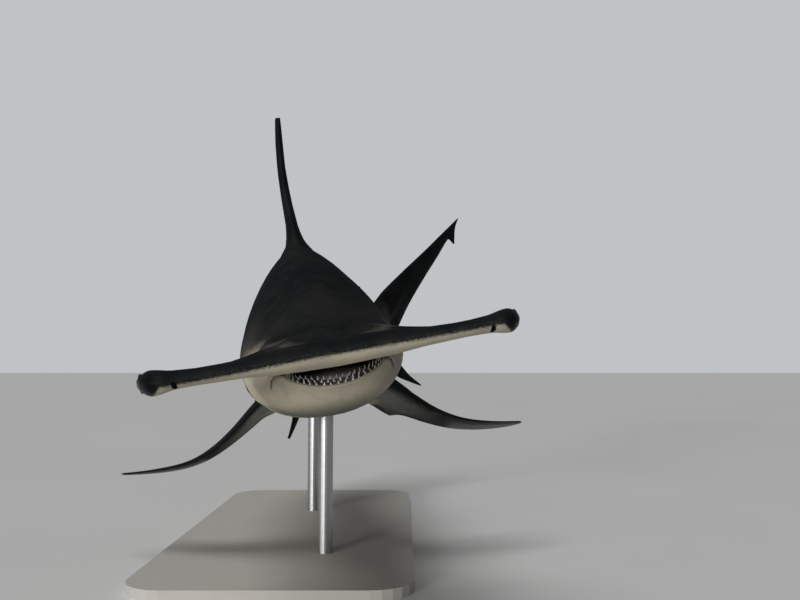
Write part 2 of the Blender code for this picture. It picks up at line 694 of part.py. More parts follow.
def lobe_solid(name, lobe, behind):
    """A blade of the tail fin; behind is +1 where its rear edge is on the lower side."""
    angle = math.radians(lobe["angle"])
    along = Vector((0, math.cos(angle), math.sin(angle)))
    rearward = Vector((0, math.sin(angle), -math.cos(angle))) * behind
    front, rear, thick = (through(lobe[key]) for key in ("front", "rear", "thick"))
    rings = []
    for share in fin_shares(lobe["rings"], 0.0)[1:]:
        edge = min(FIN_EDGE, thick(share) * 0.7)
        ring = foil_ring(front(share), rear(share), thick(share), edge, FIN_SIDES)
        foot = CAUDAL_ROOT + along * lobe["length"] * share
        rings.append([bend(foot + rearward * chord + Vector((offset, 0, 0))) for chord, offset in ring])
    return loft(name, rings)


# The cut between the two blades of the tail fin.
LOBE_CUT_DEG = -76
LOBE_CUT_BELOW = 0.105

# The cut that frees the lower jaw, from just under the hammer back through the corners of the mouth.
JAW_CUT_FRONT = Vector((0, 0, -0.0385))
JAW_CUT_BACK = Vector((0, 0.44, -0.075))

# The stand.
BASE_LENGTH = 1.7
BASE_WIDTH = 0.8
BASE_HEIGHT = 0.03
ROD_RADIUS = 0.024
ROD_STATIONS = {"stand_rod_front": 0.86, "stand_rod_rear": 1.62}


def stand_base(name):
    bm = bmesh.new()
    bmesh.ops.create_cube(bm, size=1)
    bmesh.ops.scale(bm, vec=(BASE_WIDTH, BASE_LENGTH, BASE_HEIGHT), verts=bm.verts)
    bmesh.ops.translate(bm, vec=(0, 0, BASE_HEIGHT / 2), verts=bm.verts)
    upright = [e for e in bm.edges if abs(e.verts[0].co.z - e.verts[1].co.z) > BASE_HEIGHT / 2]
    bmesh.ops.bevel(bm, geom=upright, offset=0.12, segments=6, affect="EDGES", profile=0.5)
    return mesh_object(name, bm)


def stand_rod(name, station, cutter):
    belly = bend((0, station, belly_at(station / PCT) * PCT))
    bottom, top = BASE_HEIGHT + GAP, belly.z + 0.06
    bm = bmesh.new()
    bmesh.ops.create_cone(bm, cap_ends=True, segments=24, radius1=ROD_RADIUS, radius2=ROD_RADIUS,
                          depth=top - bottom)
    bmesh.ops.translate(bm, vec=(belly.x, belly.y, (top + bottom) / 2), verts=bm.verts)
    return largest_body(combine(mesh_object(name, bm), [cutter], "DIFFERENCE", keep=True))


# Colour, roughness and metallic of each node, by the start of its name.
FINISHES = {
    "head": ((0.055, 0.055, 0.052), 0.45, 0.0),
    "lower_jaw": ((0.45, 0.42, 0.35), 0.45, 0.0),
    "eye": ((0.012, 0.012, 0.014), 0.12, 0.0),
    "gill_region": ((0.055, 0.055, 0.052), 0.5, 0.0),
    "trunk": ((0.055, 0.055, 0.052), 0.5, 0.0),
    "tail_stem": ((0.055, 0.055, 0.052), 0.5, 0.0),
    "caudal": ((0.045, 0.046, 0.045), 0.5, 0.0),
    "first_dorsal": ((0.045, 0.046, 0.045), 0.5, 0.0),
    "second_dorsal": ((0.045, 0.046, 0.045), 0.5, 0.0),
    "anal": ((0.10, 0.10, 0.095), 0.5, 0.0),
    "pectoral": ((0.10, 0.10, 0.095), 0.5, 0.0),
    "pelvic": ((0.10, 0.10, 0.095), 0.5, 0.0),
    "stand_base": ((0.42, 0.40, 0.36), 0.6, 0.0),
    "stand_rod": ((0.50, 0.50, 0.50), 0.35, 1.0),
}


SHARP_ANGLE = math.radians(40)


def finish_node(node):
    """Smooth shading with sharp creases, and the node's own material."""
    node.data.shade_smooth()
    node.data.set_sharp_from_angle(angle=SHARP_ANGLE)
    for name, (colour, roughness, metallic) in FINISHES.items():
        if node.name.startswith(name):
            node.data.materials.clear()
            node.data.materials.append(finish_material(node.name, colour, roughness, metallic))


def median_fin(name, fin, line, sign):
    return fin_solid(name, fin, median_place(fin, line, sign))


def paired_fins(word, side):
    pectoral = paired_place(PECTORAL, PECTORAL_ROOT, PECTORAL_DROOP[side], PECTORAL_PITCH[side], side)
    pelvic = paired_place(PELVIC, PELVIC_ROOT, PELVIC_DROOP[side], PELVIC_PITCH[side], side)
    return [
        fin_solid(f"pectoral_fin_{word}", PECTORAL, pectoral),
        fin_solid(f"pelvic_fin_{word}", PELVIC, pelvic),
    ]


def build_tail(whole):
    """Joins both blades to the end of the body and parts them again with thin cuts."""
    tail = between(whole, "tail", front=TAIL_FROM)
    combine(tail, [lobe_solid("upper", UPPER_LOBE, 1), lobe_solid("lower", LOWER_LOBE, -1)], "UNION")
    left, tailward, up = spine_axes(CAUDAL_ROOT.y)
    angle = math.radians(LOBE_CUT_DEG)
    normal = tailward * math.cos(angle) + up * math.sin(angle)
    root = bend(CAUDAL_ROOT)
    upper = slice_off(copy_of(tail, "caudal_upper_lobe"), root + normal * (LOBE_CUT_BELOW - GAP / 2), normal)
    lower = slice_off(copy_of(tail, "caudal_lower_lobe"), root + normal * (LOBE_CUT_BELOW + GAP / 2), -normal)
    bpy.data.objects.remove(tail, do_unlink=True)
    return [largest_body(upper), largest_body(lower)]


def build_head(whole):
    """The head above the jaw cut and the lower jaw below it, with their teeth and eyes."""
    front = between(whole, "front", back=HEAD_TO)
    matrix = head_matrix()
    combine(front, [gum_ridge("gum"), lower_lip("lip")] + lower_teeth() + upper_teeth(), "UNION")
    combine(front, [furrow("furrow_left", 1), furrow("furrow_right", -1)], "DIFFERENCE")
    run = JAW_CUT_BACK - JAW_CUT_FRONT
    normal = (matrix.to_3x3() @ Vector((0, run.z, -run.y))).normalized()
    point = matrix @ JAW_CUT_FRONT
    head = slice_off(copy_of(front, "head"), point - normal * GAP / 2, normal)
    jaw = slice_off(copy_of(front, "lower_jaw"), point + normal * GAP / 2, -normal)
    bpy.data.objects.remove(front, do_unlink=True)
    largest_body(head)
    eyes = []
    for word, side in SIDES:
        combine(head, [eye_lid("lid", side)], "UNION")
        combine(head, [eye_ball("socket", side, GAP), nostril("nostril", side)], "DIFFERENCE")
        eyes.append(eye_ball(f"eye_{word}", side))
    return [largest_body(head), largest_body(jaw)] + eyes


SIDES = (("left", 1), ("right", -1))
HEAD_TO = 0.44
GILLS_TO = 0.76
TRUNK_TO = 1.72
TAIL_FROM = 2.34


def build():
    clear_scene()
    whole = trunk_loft("whole")
    combine(whole, [hammer_loft("hammer"), bowl_solid("bowl")], "UNION")
    combine(whole, [mouth_cutter("mouth")], "DIFFERENCE")
    slits = []
    for word, side in SIDES:
        slits += [gill_slit(f"slit_{word}_{i}", i, side) for i in range(len(GILL_STATIONS))]
    combine(whole, slits, "DIFFERENCE")
    nodes = build_head(whole)
    nodes.append(between(whole, "gill_region", front=HEAD_TO, back=GILLS_TO))
    nodes.append(between(whole, "trunk", front=GILLS_TO, back=TRUNK_TO))
    nodes.append(between(whole, "tail_stem", front=TRUNK_TO, back=TAIL_FROM))
    nodes += build_tail(whole)
    bpy.data.objects.remove(whole, do_unlink=True)
    skin = trunk_loft("grown", GAP)
    fins = [
        median_fin("first_dorsal_fin", FIRST_DORSAL, back_at, 1),
        median_fin("second_dorsal_fin", SECOND_DORSAL, back_at, 1),
        median_fin("anal_fin", ANAL, belly_at, -1),
    ]
    for word, side in SIDES:
        fins += paired_fins(word, side)
    for fin in fins:
        largest_body(combine(fin, [skin], "DIFFERENCE", keep=True))
    for name, station in ROD_STATIONS.items():
        stand_rod(name, station, skin)
    stand_base("stand_base")
    bpy.data.objects.remove(skin, do_unlink=True)
    for node in bpy.context.scene.objects:
        finish_node(node)


build()
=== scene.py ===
import math

import bmesh
import bpy
import numpy as np
from mathutils import Matrix, Vector


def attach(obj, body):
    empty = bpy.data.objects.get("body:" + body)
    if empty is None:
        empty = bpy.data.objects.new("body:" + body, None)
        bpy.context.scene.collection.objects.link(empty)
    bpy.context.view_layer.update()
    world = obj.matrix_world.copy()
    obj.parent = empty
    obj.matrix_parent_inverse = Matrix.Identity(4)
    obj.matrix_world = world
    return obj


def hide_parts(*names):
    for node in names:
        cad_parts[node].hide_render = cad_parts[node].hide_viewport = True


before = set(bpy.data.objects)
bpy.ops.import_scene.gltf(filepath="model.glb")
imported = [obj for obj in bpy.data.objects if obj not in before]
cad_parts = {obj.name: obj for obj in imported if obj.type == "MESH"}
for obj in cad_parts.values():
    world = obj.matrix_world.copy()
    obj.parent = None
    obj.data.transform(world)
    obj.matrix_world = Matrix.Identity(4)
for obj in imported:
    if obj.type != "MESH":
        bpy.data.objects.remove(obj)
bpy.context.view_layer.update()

# The animal is drawn straight: x to its left, u behind the snout, z up. The last step bends it to the pose.
pose = {
    "snout": (0.229, -1.28, 0.648),
    "heading": [(0, -10), (0.5, -10), (0.9, -9), (1.3, -8), (1.75, 3), (2.1, 25), (2.45, 33), (2.9, 34)],
    "pitch": [(0, 3), (0.5, 3), (0.9, 2), (1.3, 1.8), (1.75, 1.8), (2.1, 3.5), (2.45, 10), (2.9, 11)],
    "roll": [(0, 10.2), (0.5, 10.2), (0.9, 10), (1.3, 8), (1.75, 4), (2.1, -3), (2.45, -7), (2.9, -8)],
    "step": 0.01, "end": 3.6,
}


def curve(points):
    # a smooth curve through its points that never overshoots them
    places, values = np.array(points, float).T
    steps = np.diff(places)
    slopes = np.diff(values) / steps
    tangents = np.concatenate([slopes[:1], np.zeros(len(steps) - 1), slopes[-1:]])
    for i in range(1, len(steps)):
        before, after = slopes[i - 1], slopes[i]
        if before * after > 0:
            tangents[i] = 2 * before * after / (before + after)

    def at(place):
        place = np.clip(place, places[0], places[-1])
        i = np.clip(np.searchsorted(places, place, side="right") - 1, 0, len(steps) - 1)
        t = (place - places[i]) / steps[i]
        start = (1 + 2 * t) * (1 - t) ** 2 * values[i] + t * (1 - t) ** 2 * steps[i] * tangents[i]
        end = t * t * (3 - 2 * t) * values[i + 1] + t * t * (t - 1) * steps[i] * tangents[i + 1]
        return start + end

    return at


def spineAxes(u):
    # left, tailward and up of the body at u, as rows
    heading, pitch, roll = (np.radians(curve(pose[key])(u)) for key in ("heading", "pitch", "roll"))
    zero = np.zeros_like(heading)
    tailward = np.stack([np.sin(heading) * np.cos(pitch), np.cos(heading) * np.cos(pitch), np.sin(pitch)], -1)
    levelLeft = np.stack([np.cos(heading), -np.sin(heading), zero], -1)
    levelUp = np.cross(levelLeft, tailward)
    cosRoll, sinRoll = np.cos(roll)[..., None], np.sin(roll)[..., None]
    return levelLeft * cosRoll + levelUp * sinRoll, tailward, levelUp * cosRoll - levelLeft * sinRoll


def layOutSpine():
    steps = round(pose["end"] / pose["step"])
    moves = spineAxes((np.arange(steps) + 0.5) * pose["step"])[1] * pose["step"]
    return np.vstack([np.zeros(3), np.cumsum(moves, axis=0)]) + np.array(pose["snout"])


spine = layOutSpine()


def bend(points):
    # carries rows of x, u, z to their places in the pose
    points = np.asarray(points, float)
    u = points[..., 1]
    marks = np.arange(len(spine)) * pose["step"]
    foot = np.stack([np.interp(u, marks, spine[:, i]) for i in range(3)], -1)
    left, tailward, up = spineAxes(u)
    past = np.minimum(u, 0)[..., None]
    return foot + left * points[..., :1] + up * points[..., 2:] + tailward * past


def tube(along, around, place):
    # a closed skin from a grid; place turns row and column numbers into x, u, z
    bm = bmesh.new()
    bmesh.ops.create_grid(bm, x_segments=around, y_segments=along, size=0.5)
    shares = np.array([vert.co for vert in bm.verts]) + 0.5
    rows, columns = np.rint(shares[:, 1] * along), np.rint(shares[:, 0] * around)
    spots = np.stack(np.broadcast_arrays(*place(rows, columns)), 1)
    for vert, spot in zip(bm.verts, spots):
        vert.co = spot
    bmesh.ops.remove_doubles(bm, verts=bm.verts, dist=1e-5)
    bmesh.ops.holes_fill(bm, edges=[edge for edge in bm.edges if edge.is_boundary], sides=0)
    bmesh.ops.recalc_face_normals(bm, faces=bm.faces)
    return bm


def meshObject(name, *shapes):
    # one object from one or more bmeshes
    joined = bmesh.new()
    for bm in shapes:
        part = bpy.data.meshes.new("part")
        bm.to_mesh(part)
        bm.free()
        joined.from_mesh(part)
        bpy.data.meshes.remove(part)
    mesh = bpy.data.meshes.new(name)
    joined.to_mesh(mesh)
    joined.free()
    obj = bpy.data.objects.new(name, mesh)
    bpy.context.scene.collection.objects.link(obj)
    return obj


def modify(obj, kind, **settings):
    # adds a modifier and applies it at once
    modifier = obj.modifiers.new(kind.lower(), kind)
    for key, value in settings.items():
        setattr(modifier, key, value)
    made = bpy.data.meshes.new_from_object(obj.evaluated_get(bpy.context.evaluated_depsgraph_get()))
    obj.modifiers.clear()
    old = obj.data
    obj.data = made
    bpy.data.meshes.remove(old)


def combine(obj, shapes, operation):
    # one exact Boolean with several closed shapes
    helpers = bpy.data.collections.new("helpers")
    others = [meshObject("helper", shape) for shape in shapes]
    for other in others:
        helpers.objects.link(other)
    modify(obj, "BOOLEAN", operation=operation, operand_type="COLLECTION", collection=helpers, solver="EXACT")
    bpy.data.collections.remove(helpers)
    for other in others:
        bpy.data.objects.remove(other, do_unlink=True)


def cutOut(obj, shape):
    # a quicker Boolean, for the dense skin
    cutter = meshObject("cutter", shape)
    modify(obj, "BOOLEAN", operation="DIFFERENCE", object=cutter, solver="MANIFOLD")
    bpy.data.objects.remove(cutter, do_unlink=True)


def threes(items, key):
    # three numbers of every item, as rows
    flat = np.empty(len(items) * 3, np.float32)
    items.foreach_get(key, flat)
    return flat.reshape(-1, 3).astype(float)


def coordinates(mesh):
    return threes(mesh.vertices, "co")


def normals(mesh):
    return threes(mesh.vertex_normals, "vector")


def setCoordinates(mesh, points):
    mesh.vertices.foreach_set("co", np.ascontiguousarray(points, np.float32).ravel())
    mesh.update()


def smoothStep(value, low, high):
    t = np.clip((value - low) / (high - low), 0, 1)
    return t * t * (3 - 2 * t)


def bell(value, width):
    return np.exp(-(value / width) ** 2)


# Trunk, in percent of the length: distance behind the snout, then the size there.
trunk = {
    "length": 3.5,
    "back": [(3.5, 1.2), (6, 2.1), (9, 3.4), (12, 4.7), (16, 6.3), (20, 7.7), (26, 9.3), (32, 9.8), (38, 9.5),
             (46, 8.4), (54, 7.3), (62, 6.0), (69, 4.8), (72, 5.2), (76, 6.9), (79, 8.6)],
    "belly": [(3.5, -1.0), (8, -1.3), (10, -2.6), (12, -4.6), (14, -5.4), (20, -6.2), (26, -6.6), (34, -6.5),
              (42, -5.8), (50, -4.7), (58, -3.0), (64, -1.4), (69, -0.1), (72, 1.3), (76, 4.8), (79, 7.6)],
    "halfWidth": [(3.5, 9.5), (4.5, 7.8), (6, 6.2), (8, 5.7), (12, 5.8), (16, 6.3), (22, 6.8), (28, 6.7),
                  (36, 6.1), (44, 5.2), (52, 4.1), (60, 3.0), (66, 2.2), (70, 1.6), (74, 0.85), (79, 0.3)],
    "widest": [(3.5, 0.0), (8, -0.6), (14, -1.2), (22, -0.8), (34, 0.2), (46, 1.0), (58, 1.6), (69, 2.0),
               (72, 3.0), (76, 5.8), (79, 8.1)],
    "backPower": [(3.5, 1.25), (8, 1.6), (14, 1.65), (24, 1.47), (36, 1.47), (50, 1.75), (79, 2.0)],
    "bellyPower": [(3.5, 1.4), (12, 2.2), (30, 2.2), (50, 2.1), (79, 2.0)],
    "first": 3.6, "last": 78, "along": 160, "around": 120,
}
percent = trunk["length"] / 100


def trunkPoint(station, angle, grow=0.0):
    # station in percent of the length, angle from the left side over the back
    side, height = np.cos(angle), np.sin(angle)
    widest = curve(trunk["widest"])(station)
    upper = height >= 0
    power = np.where(upper, curve(trunk["backPower"])(station), curve(trunk["bellyPower"])(station))
    reach = np.where(upper, curve(trunk["back"])(station), curve(trunk["belly"])(station)) - widest
    x = curve(trunk["halfWidth"])(station) * np.sign(side) * np.abs(side) ** (2 / power)
    z = reach * np.abs(height) ** (2 / power)
    scale = 1 + grow / percent / np.maximum(np.hypot(x, z), 1e-6)
    return x * scale * percent, station * percent, (widest + z * scale) * percent


def makeTrunk():
    def place(row, column):
        station = trunk["first"] + (trunk["last"] - trunk["first"]) * row / trunk["along"]
        return trunkPoint(station, 2 * math.pi * column / trunk["around"])
    return tube(trunk["along"], trunk["around"], place)


# The hammer, a thick foil across the snout. Distances from the middle are shares of the half span.
hammer = {
    "half": 0.4366,
    "front": [(0, 0.012), (0.12, 0.002), (0.3, 0), (0.55, 0.006), (0.74, 0.012), (0.8, 0.019), (0.86, 0.014),
              (0.93, 0.026), (1, 0.05)],
    "rear": [(0, 0.25), (0.35, 0.235), (0.5, 0.182), (0.65, 0.172), (0.85, 0.178), (0.95, 0.17), (1, 0.14)],
    "thick": [(0, 0.066), (0.3, 0.056), (0.5, 0.041), (0.68, 0.037), (0.82, 0.042), (0.93, 0.057), (1, 0.05)],
    "droop": [(0, 0), (0.5, 0), (1, 0.003)],
    "edge": 0.006, "roundFrom": 0.93, "along": 240, "around": 81,
}


def foil(column, around, front, rear, thick, edge):
    # chord and offset of a foil; columns run over the upper face and back under
    middle = (around - 1) / 2
    share = (1 - np.cos(math.pi * np.minimum(column, around - column) / middle)) / 2
    s = share
    body = (0.2969 * np.sqrt(s) - 0.126 * s - 0.3516 * s ** 2 + 0.2843 * s ** 3 - 0.1036 * s ** 4) / 0.1
    offset = body * (thick - edge) / 2 + edge / 2 * np.minimum(1, 4 * s)
    return front + (rear - front) * share, np.where(column <= middle, offset, -offset)


def makeHammer():
    def place(row, column):
        share = np.sin(math.pi / 2 * (2 * row / hammer["along"] - 1))
        away = np.abs(share)
        front, rear, thick = (curve(hammer[key])(away) for key in ("front", "rear", "thick"))
        t = np.clip((away - hammer["roundFrom"]) / (1 - hammer["roundFrom"]), 0, 1)
        shrink = np.sqrt(np.maximum(1 - t * t, 0.03))
        middle = (front + rear) / 2
        front, rear = (middle + (side - middle) * shrink ** 0.6 for side in (front, rear))
        chord, offset = foil(column, hammer["around"], front, rear, thick * shrink, hammer["edge"])
        return share * hammer["half"], chord, curve(hammer["droop"])(away) + offset
    return tube(hammer["along"], hammer["around"], place)


# The jaw bowl, a half egg under the hammer.
bowl = {"centre": (0, 0.43, -0.035), "radii": (0.208, 0.215, 0.148)}


def bowlFront(x, z):
    share = (x / bowl["radii"][0]) ** 2 + ((z - bowl["centre"][2]) / bowl["radii"][2]) ** 2
    return bowl["centre"][1] - bowl["radii"][1] * np.sqrt(np.maximum(1 - share, 0.0))


def ball(centre, radii, fineness=4):
    bm = bmesh.new()
    bmesh.ops.create_icosphere(bm, subdivisions=fineness, radius=1)
    bmesh.ops.scale(bm, vec=radii, verts=bm.verts)
    bmesh.ops.translate(bm, vec=centre, verts=bm.verts)
    return bm


# The mouth, an open crescent in the front of the bowl.
mouth = {
    "half": 0.139, "middle": 0.006, "top": -0.04, "cornerRise": 0.005, "drop": 0.044, "gap": 0.004,
    "fullness": 0.75, "lip": 0.0045, "lipSides": 12, "around": 64,
    "stations": (0.12, 0.238, 0.258, 0.31, 0.37, 0.41), "sizes": (1.0, 1.0, 0.97, 0.93, 0.85, 0.65),
    "roofs": (-0.04, -0.04, -0.029, -0.027, -0.03, -0.04),
}


def roofHeight(x):
    return mouth["top"] + mouth["cornerRise"] * ((x - mouth["middle"]) / mouth["half"]) ** 2


def lipHeight(x):
    across = (x - mouth["middle"]) / mouth["half"]
    return roofHeight(x) - mouth["gap"] - mouth["drop"] * np.maximum(1 - across ** 2, 0) ** mouth["fullness"]


def acrossMouth(width, share, reach=1):
    # x at a share of the way from the right corner to the left, closer together at the corners
    return mouth["middle"] + width * mouth["half"] * np.sin(math.pi / 2 * (2 * share - 1) * reach)


def makeMouth():
    # the cut for the mouth, with a vaulted roof behind the upper lip
    rows = range(len(mouth["stations"]))
    straight = bowlFront(0, mouth["top"])

    def place(row, column):
        size, roof, station = (np.interp(row, rows, mouth[key]) for key in ("sizes", "roofs", "stations"))
        turn = 2 * math.pi * column / mouth["around"]
        full = mouth["middle"] + mouth["half"] * np.cos(turn)
        x = mouth["middle"] + (full - mouth["middle"]) * size
        low = mouth["top"] + (lipHeight(full) - mouth["top"]) * size
        follow = np.where(row > 0, bowlFront(x, mouth["top"]) - straight, 0)
        return x, station + follow, np.where(np.sin(turn) > 1e-6, low, roof + roofHeight(x) - mouth["top"])
    return tube(len(mouth["stations"]) - 1, mouth["around"], place)


def gumFrame(x, nudge=0.002):
    # the edge of the lower lip at x, its inward direction and the share of room above it
    z = lipHeight(x)
    slope = (bowlFront(x + nudge, z) - bowlFront(x - nudge, z)) / (2 * nudge)
    length = np.hypot(slope, 1)
    room = (roofHeight(x) - z) / (mouth["drop"] + mouth["gap"])
    return (x, bowlFront(x, z), z), (-slope / length, 1 / length), room


gum = {
    "rise": 0.014, "depth": 0.028, "along": 60,
    # corners of its section: inward and up, each in metres and then as a share of the depth or the rise
    "corners": [(0.005, 0, -0.012, 0), (0.005, 0, 0.001, 0), (0.006, 0.5, 0, 0.62), (0.006, 1, 0, 1),
                (0.01, 1.15, 0, 0.8), (0.01, 1.3, -0.012, 0)],
}


def gumSize(room):
    # rise and depth, smaller towards the corners of the mouth
    return gum["rise"] * room + 0.002, gum["depth"] * (0.35 + 0.65 * room)


def makeGum():
    # a ridge inside the lower lip that carries the tooth rows
    def place(row, column):
        (x, u, z), (ix, iu), room = gumFrame(acrossMouth(0.94, row / gum["along"]))
        rise, depth = gumSize(room)
        corner = (column % len(gum["corners"])).astype(int)
        inward, deep, low, high = np.array(gum["corners"], float)[corner].T
        run, lift = inward + deep * depth, low + high * rise
        return x + ix * run, u + iu * run, z + lift
    return tube(gum["along"], len(gum["corners"]), place)


def makeLip():
    # the rounded rim of the lower jaw
    def place(row, column):
        (x, u, z), (ix, iu), _ = gumFrame(acrossMouth(0.95, row / gum["along"]))
        turn = 2 * math.pi * column / mouth["lipSides"]
        run = 0.002 + mouth["lip"] * np.cos(turn)
        return x + ix * run, u + iu * run, z - 0.003 + mouth["lip"] * np.sin(turn)
    return tube(gum["along"], mouth["lipSides"], place)


# Eyes at the ends of the hammer, each in a socket with a raised lid.
eye = {"in": 0.017, "u": 0.088, "z": 0.004, "radius": 0.021, "gap": 0.0004,
       "lidRadius": 0.0185, "lidThick": 0.004, "lidOut": 0.01}


def eyeCentre(side):
    return Vector((side * (hammer["half"] - eye["in"]), eye["u"], eye["z"]))


def makeLid(side):
    bm = bmesh.new()
    bmesh.ops.create_circle(bm, segments=12, radius=eye["lidThick"])
    place = Matrix.Translation((eye["lidRadius"], 0, 0)) @ Matrix.Rotation(math.pi / 2, 4, "X")
    bmesh.ops.transform(bm, matrix=place, verts=bm.verts)
    bmesh.ops.spin(bm, geom=bm.verts[:] + bm.edges[:], cent=(0, 0, 0), axis=(0, 0, 1), angle=2 * math.pi,
                   steps=40, use_merge=True)
    bmesh.ops.remove_doubles(bm, verts=bm.verts, dist=1e-6)
    centre = eyeCentre(side) + Vector((side * eye["lidOut"], 0, 0))
    turn = Matrix.Translation(centre) @ Matrix.Rotation(math.pi / 2, 4, "Y")
    bmesh.ops.transform(bm, matrix=turn, verts=bm.verts)
    bmesh.ops.recalc_face_normals(bm, faces=bm.faces)
    return bm


nostril = {"share": 0.813, "radii": (0.0055, 0.024, 0.016), "low": -0.016}


def nostrilCentre(side):
    front = float(curve(hammer["front"])(nostril["share"]))
    return side * nostril["share"] * hammer["half"], front, nostril["low"]


# Fins. An outline gives the front and rear edge, as shares of the base, at a share of the height.
# Keys of -1 and 1 are the right and the left side, and angles are degrees.
firstDorsal = {
    "origin": 0.885, "base": 0.36, "height": 0.518, "sunk": 0.16, "lean": -0.004, "twist": -0.06, "sign": 1,
    "front": [(0, 0), (0.05, 0.07), (0.2, 0.26), (0.45, 0.53), (0.7, 0.76), (0.9, 0.95), (1, 1.09)],
    "rear": [(0, 1.02), (0.04, 1.42), (0.07, 1.36), (0.16, 1.04), (0.3, 0.98), (0.5, 1.0), (0.75, 1.1),
             (0.92, 1.16), (1, 1.15)],
    "thick": [(0, 0.074), (0.05, 0.058), (0.15, 0.041), (0.5, 0.031), (0.85, 0.025), (1, 0.02)],
    "flare": 2.6, "bow": -0.013,
}
secondDorsal = {
    "origin": 2.1, "base": 0.15, "height": 0.068, "sunk": 0.2, "sign": 1,
    "front": [(0, 0), (0.2, 0.3), (0.5, 0.66), (0.8, 0.93), (1, 1.12)],
    "rear": [(0, 1.02), (0.05, 1.53), (0.1, 1.48), (0.22, 1.25), (0.4, 1.12), (0.7, 1.14), (1, 1.22)],
    "thick": [(0, 0.034), (0.08, 0.024), (0.3, 0.016), (0.85, 0.009), (1, 0.007)],
}
anal = {
    "origin": 2.0, "base": 0.22, "height": 0.16, "sunk": 0.2, "sign": -1,
    "front": [(0, 0), (0.2, 0.24), (0.5, 0.54), (0.8, 0.82), (1, 1.0)],
    "rear": [(0, 1.02), (0.05, 1.55), (0.1, 1.48), (0.22, 1.02), (0.4, 0.88), (0.7, 0.95), (1, 1.09)],
    "thick": [(0, 0.034), (0.08, 0.024), (0.3, 0.016), (0.85, 0.009), (1, 0.007)],
}
pectoral = {
    "base": 0.21, "height": 0.536, "sunk": 0.2, "root": (0.17, 0.69, -0.115),
    "front": [(0, 0), (0.1, 0.06), (0.3, 0.24), (0.5, 0.47), (0.7, 0.75), (0.85, 1.05), (0.95, 1.32),
              (1, 1.5)],
    "rear": {-1: [(0, 1.95), (0.07, 1.92), (0.1, 1.78), (0.13, 1.5), (0.17, 1.32), (0.22, 1.26), (0.4, 1.14),
                  (0.6, 1.2), (0.8, 1.36), (0.95, 1.53), (1, 1.56)],
             1: [(0, 1.36), (0.06, 1.42), (0.14, 1.44), (0.2, 1.47), (0.265, 1.48), (0.285, 1.3),
                 (0.33, 1.17), (0.42, 1.14), (0.6, 1.2), (0.8, 1.36), (0.95, 1.53), (1, 1.56)]},
    "thick": [(0, 0.058), (0.06, 0.046), (0.2, 0.032), (0.5, 0.022), (0.85, 0.011), (1, 0.007)],
    "droop": {-1: [(0, 35), (0.2, 35.5), (0.45, 23), (0.7, -3), (1, -11)],
              1: [(0, 30), (0.2, 38.5), (0.45, 25.5), (0.7, 6), (1, -9)]},
    "pitch": {-1: 13, 1: 20.5},
}
pelvic = {
    "base": 0.19, "height": 0.26, "sunk": 0.18, "root": (0.082, 1.64, -0.142),
    "front": [(0, 0), (0.2, 0.2), (0.5, 0.5), (0.8, 0.8), (1, 0.98)],
    "rear": dict.fromkeys((-1, 1), [(0, 1.02), (0.08, 1.5), (0.16, 1.4), (0.3, 1.02), (0.5, 0.9),
                                    (0.75, 0.97), (1, 1.08)]),
    "thick": [(0, 0.034), (0.08, 0.026), (0.3, 0.017), (0.85, 0.009), (1, 0.007)],
    "droop": {-1: [(0, 68), (1, 52)], 1: [(0, 30), (1, 22)]},
    "pitch": {-1: 24, 1: 10},
}
finEdge = 0.006  # thickness of a rear edge
finRows, finColumns = 60, 61


def finFoil(column, front, rear, thick):
    return foil(column, finColumns, front, rear, thick, np.minimum(finEdge, thick * 0.8))


def finShare(run):
    # share of the height for a grid row, closer together at the root and the tip
    return (1 - np.cos(math.pi * run ** 0.9)) / 2


def finPlace(fin, rearEdge, place):
    # the first grid row lies below the skin, the others go from the root to the tip
    def onGrid(row, column):
        share = np.where(row < 1, -fin["sunk"], finShare(np.maximum(row - 1, 0) / (finRows - 1)))
        base = np.maximum(share, 0)
        front, rear = (curve(edge)(base) * fin["base"] for edge in (fin["front"], rearEdge))
        thick = curve(fin["thick"])(base) * np.where(row < 1, fin.get("flare", 1), 1)
        chord, offset = finFoil(column, front, rear, thick)
        return place(chord, share, offset)
    return onGrid


def medianFin(fin):
    # stands on the midline of the back or the belly
    line = curve(trunk["back"] if fin["sign"] > 0 else trunk["belly"])

    def place(chord, share, offset):
        anchor = fin["origin"] + np.minimum(chord, fin["base"])
        above = np.maximum(share, 0)
        flex = fin.get("lean", 0) * share * above + fin.get("twist", 0) * (chord - fin["base"]) * above
        flex += fin.get("bow", 0) * np.sin(math.pi * above)
        foot = line(anchor / percent) * percent
        return offset + flex, fin["origin"] + chord, foot + fin["sign"] * fin["height"] * share
    return tube(finRows, finColumns, finPlace(fin, fin["rear"], place))


def droopPath(fin, side, steps=40):
    # the middle line of a paired fin from its root to its tip, as x and z
    angles = np.radians(curve(fin["droop"][side])((np.arange(steps) + 0.5) / steps))
    moves = np.stack([np.cos(angles), -np.sin(angles)], 1) * fin["height"] / steps
    return np.vstack([np.zeros(2), np.cumsum(moves, axis=0)])


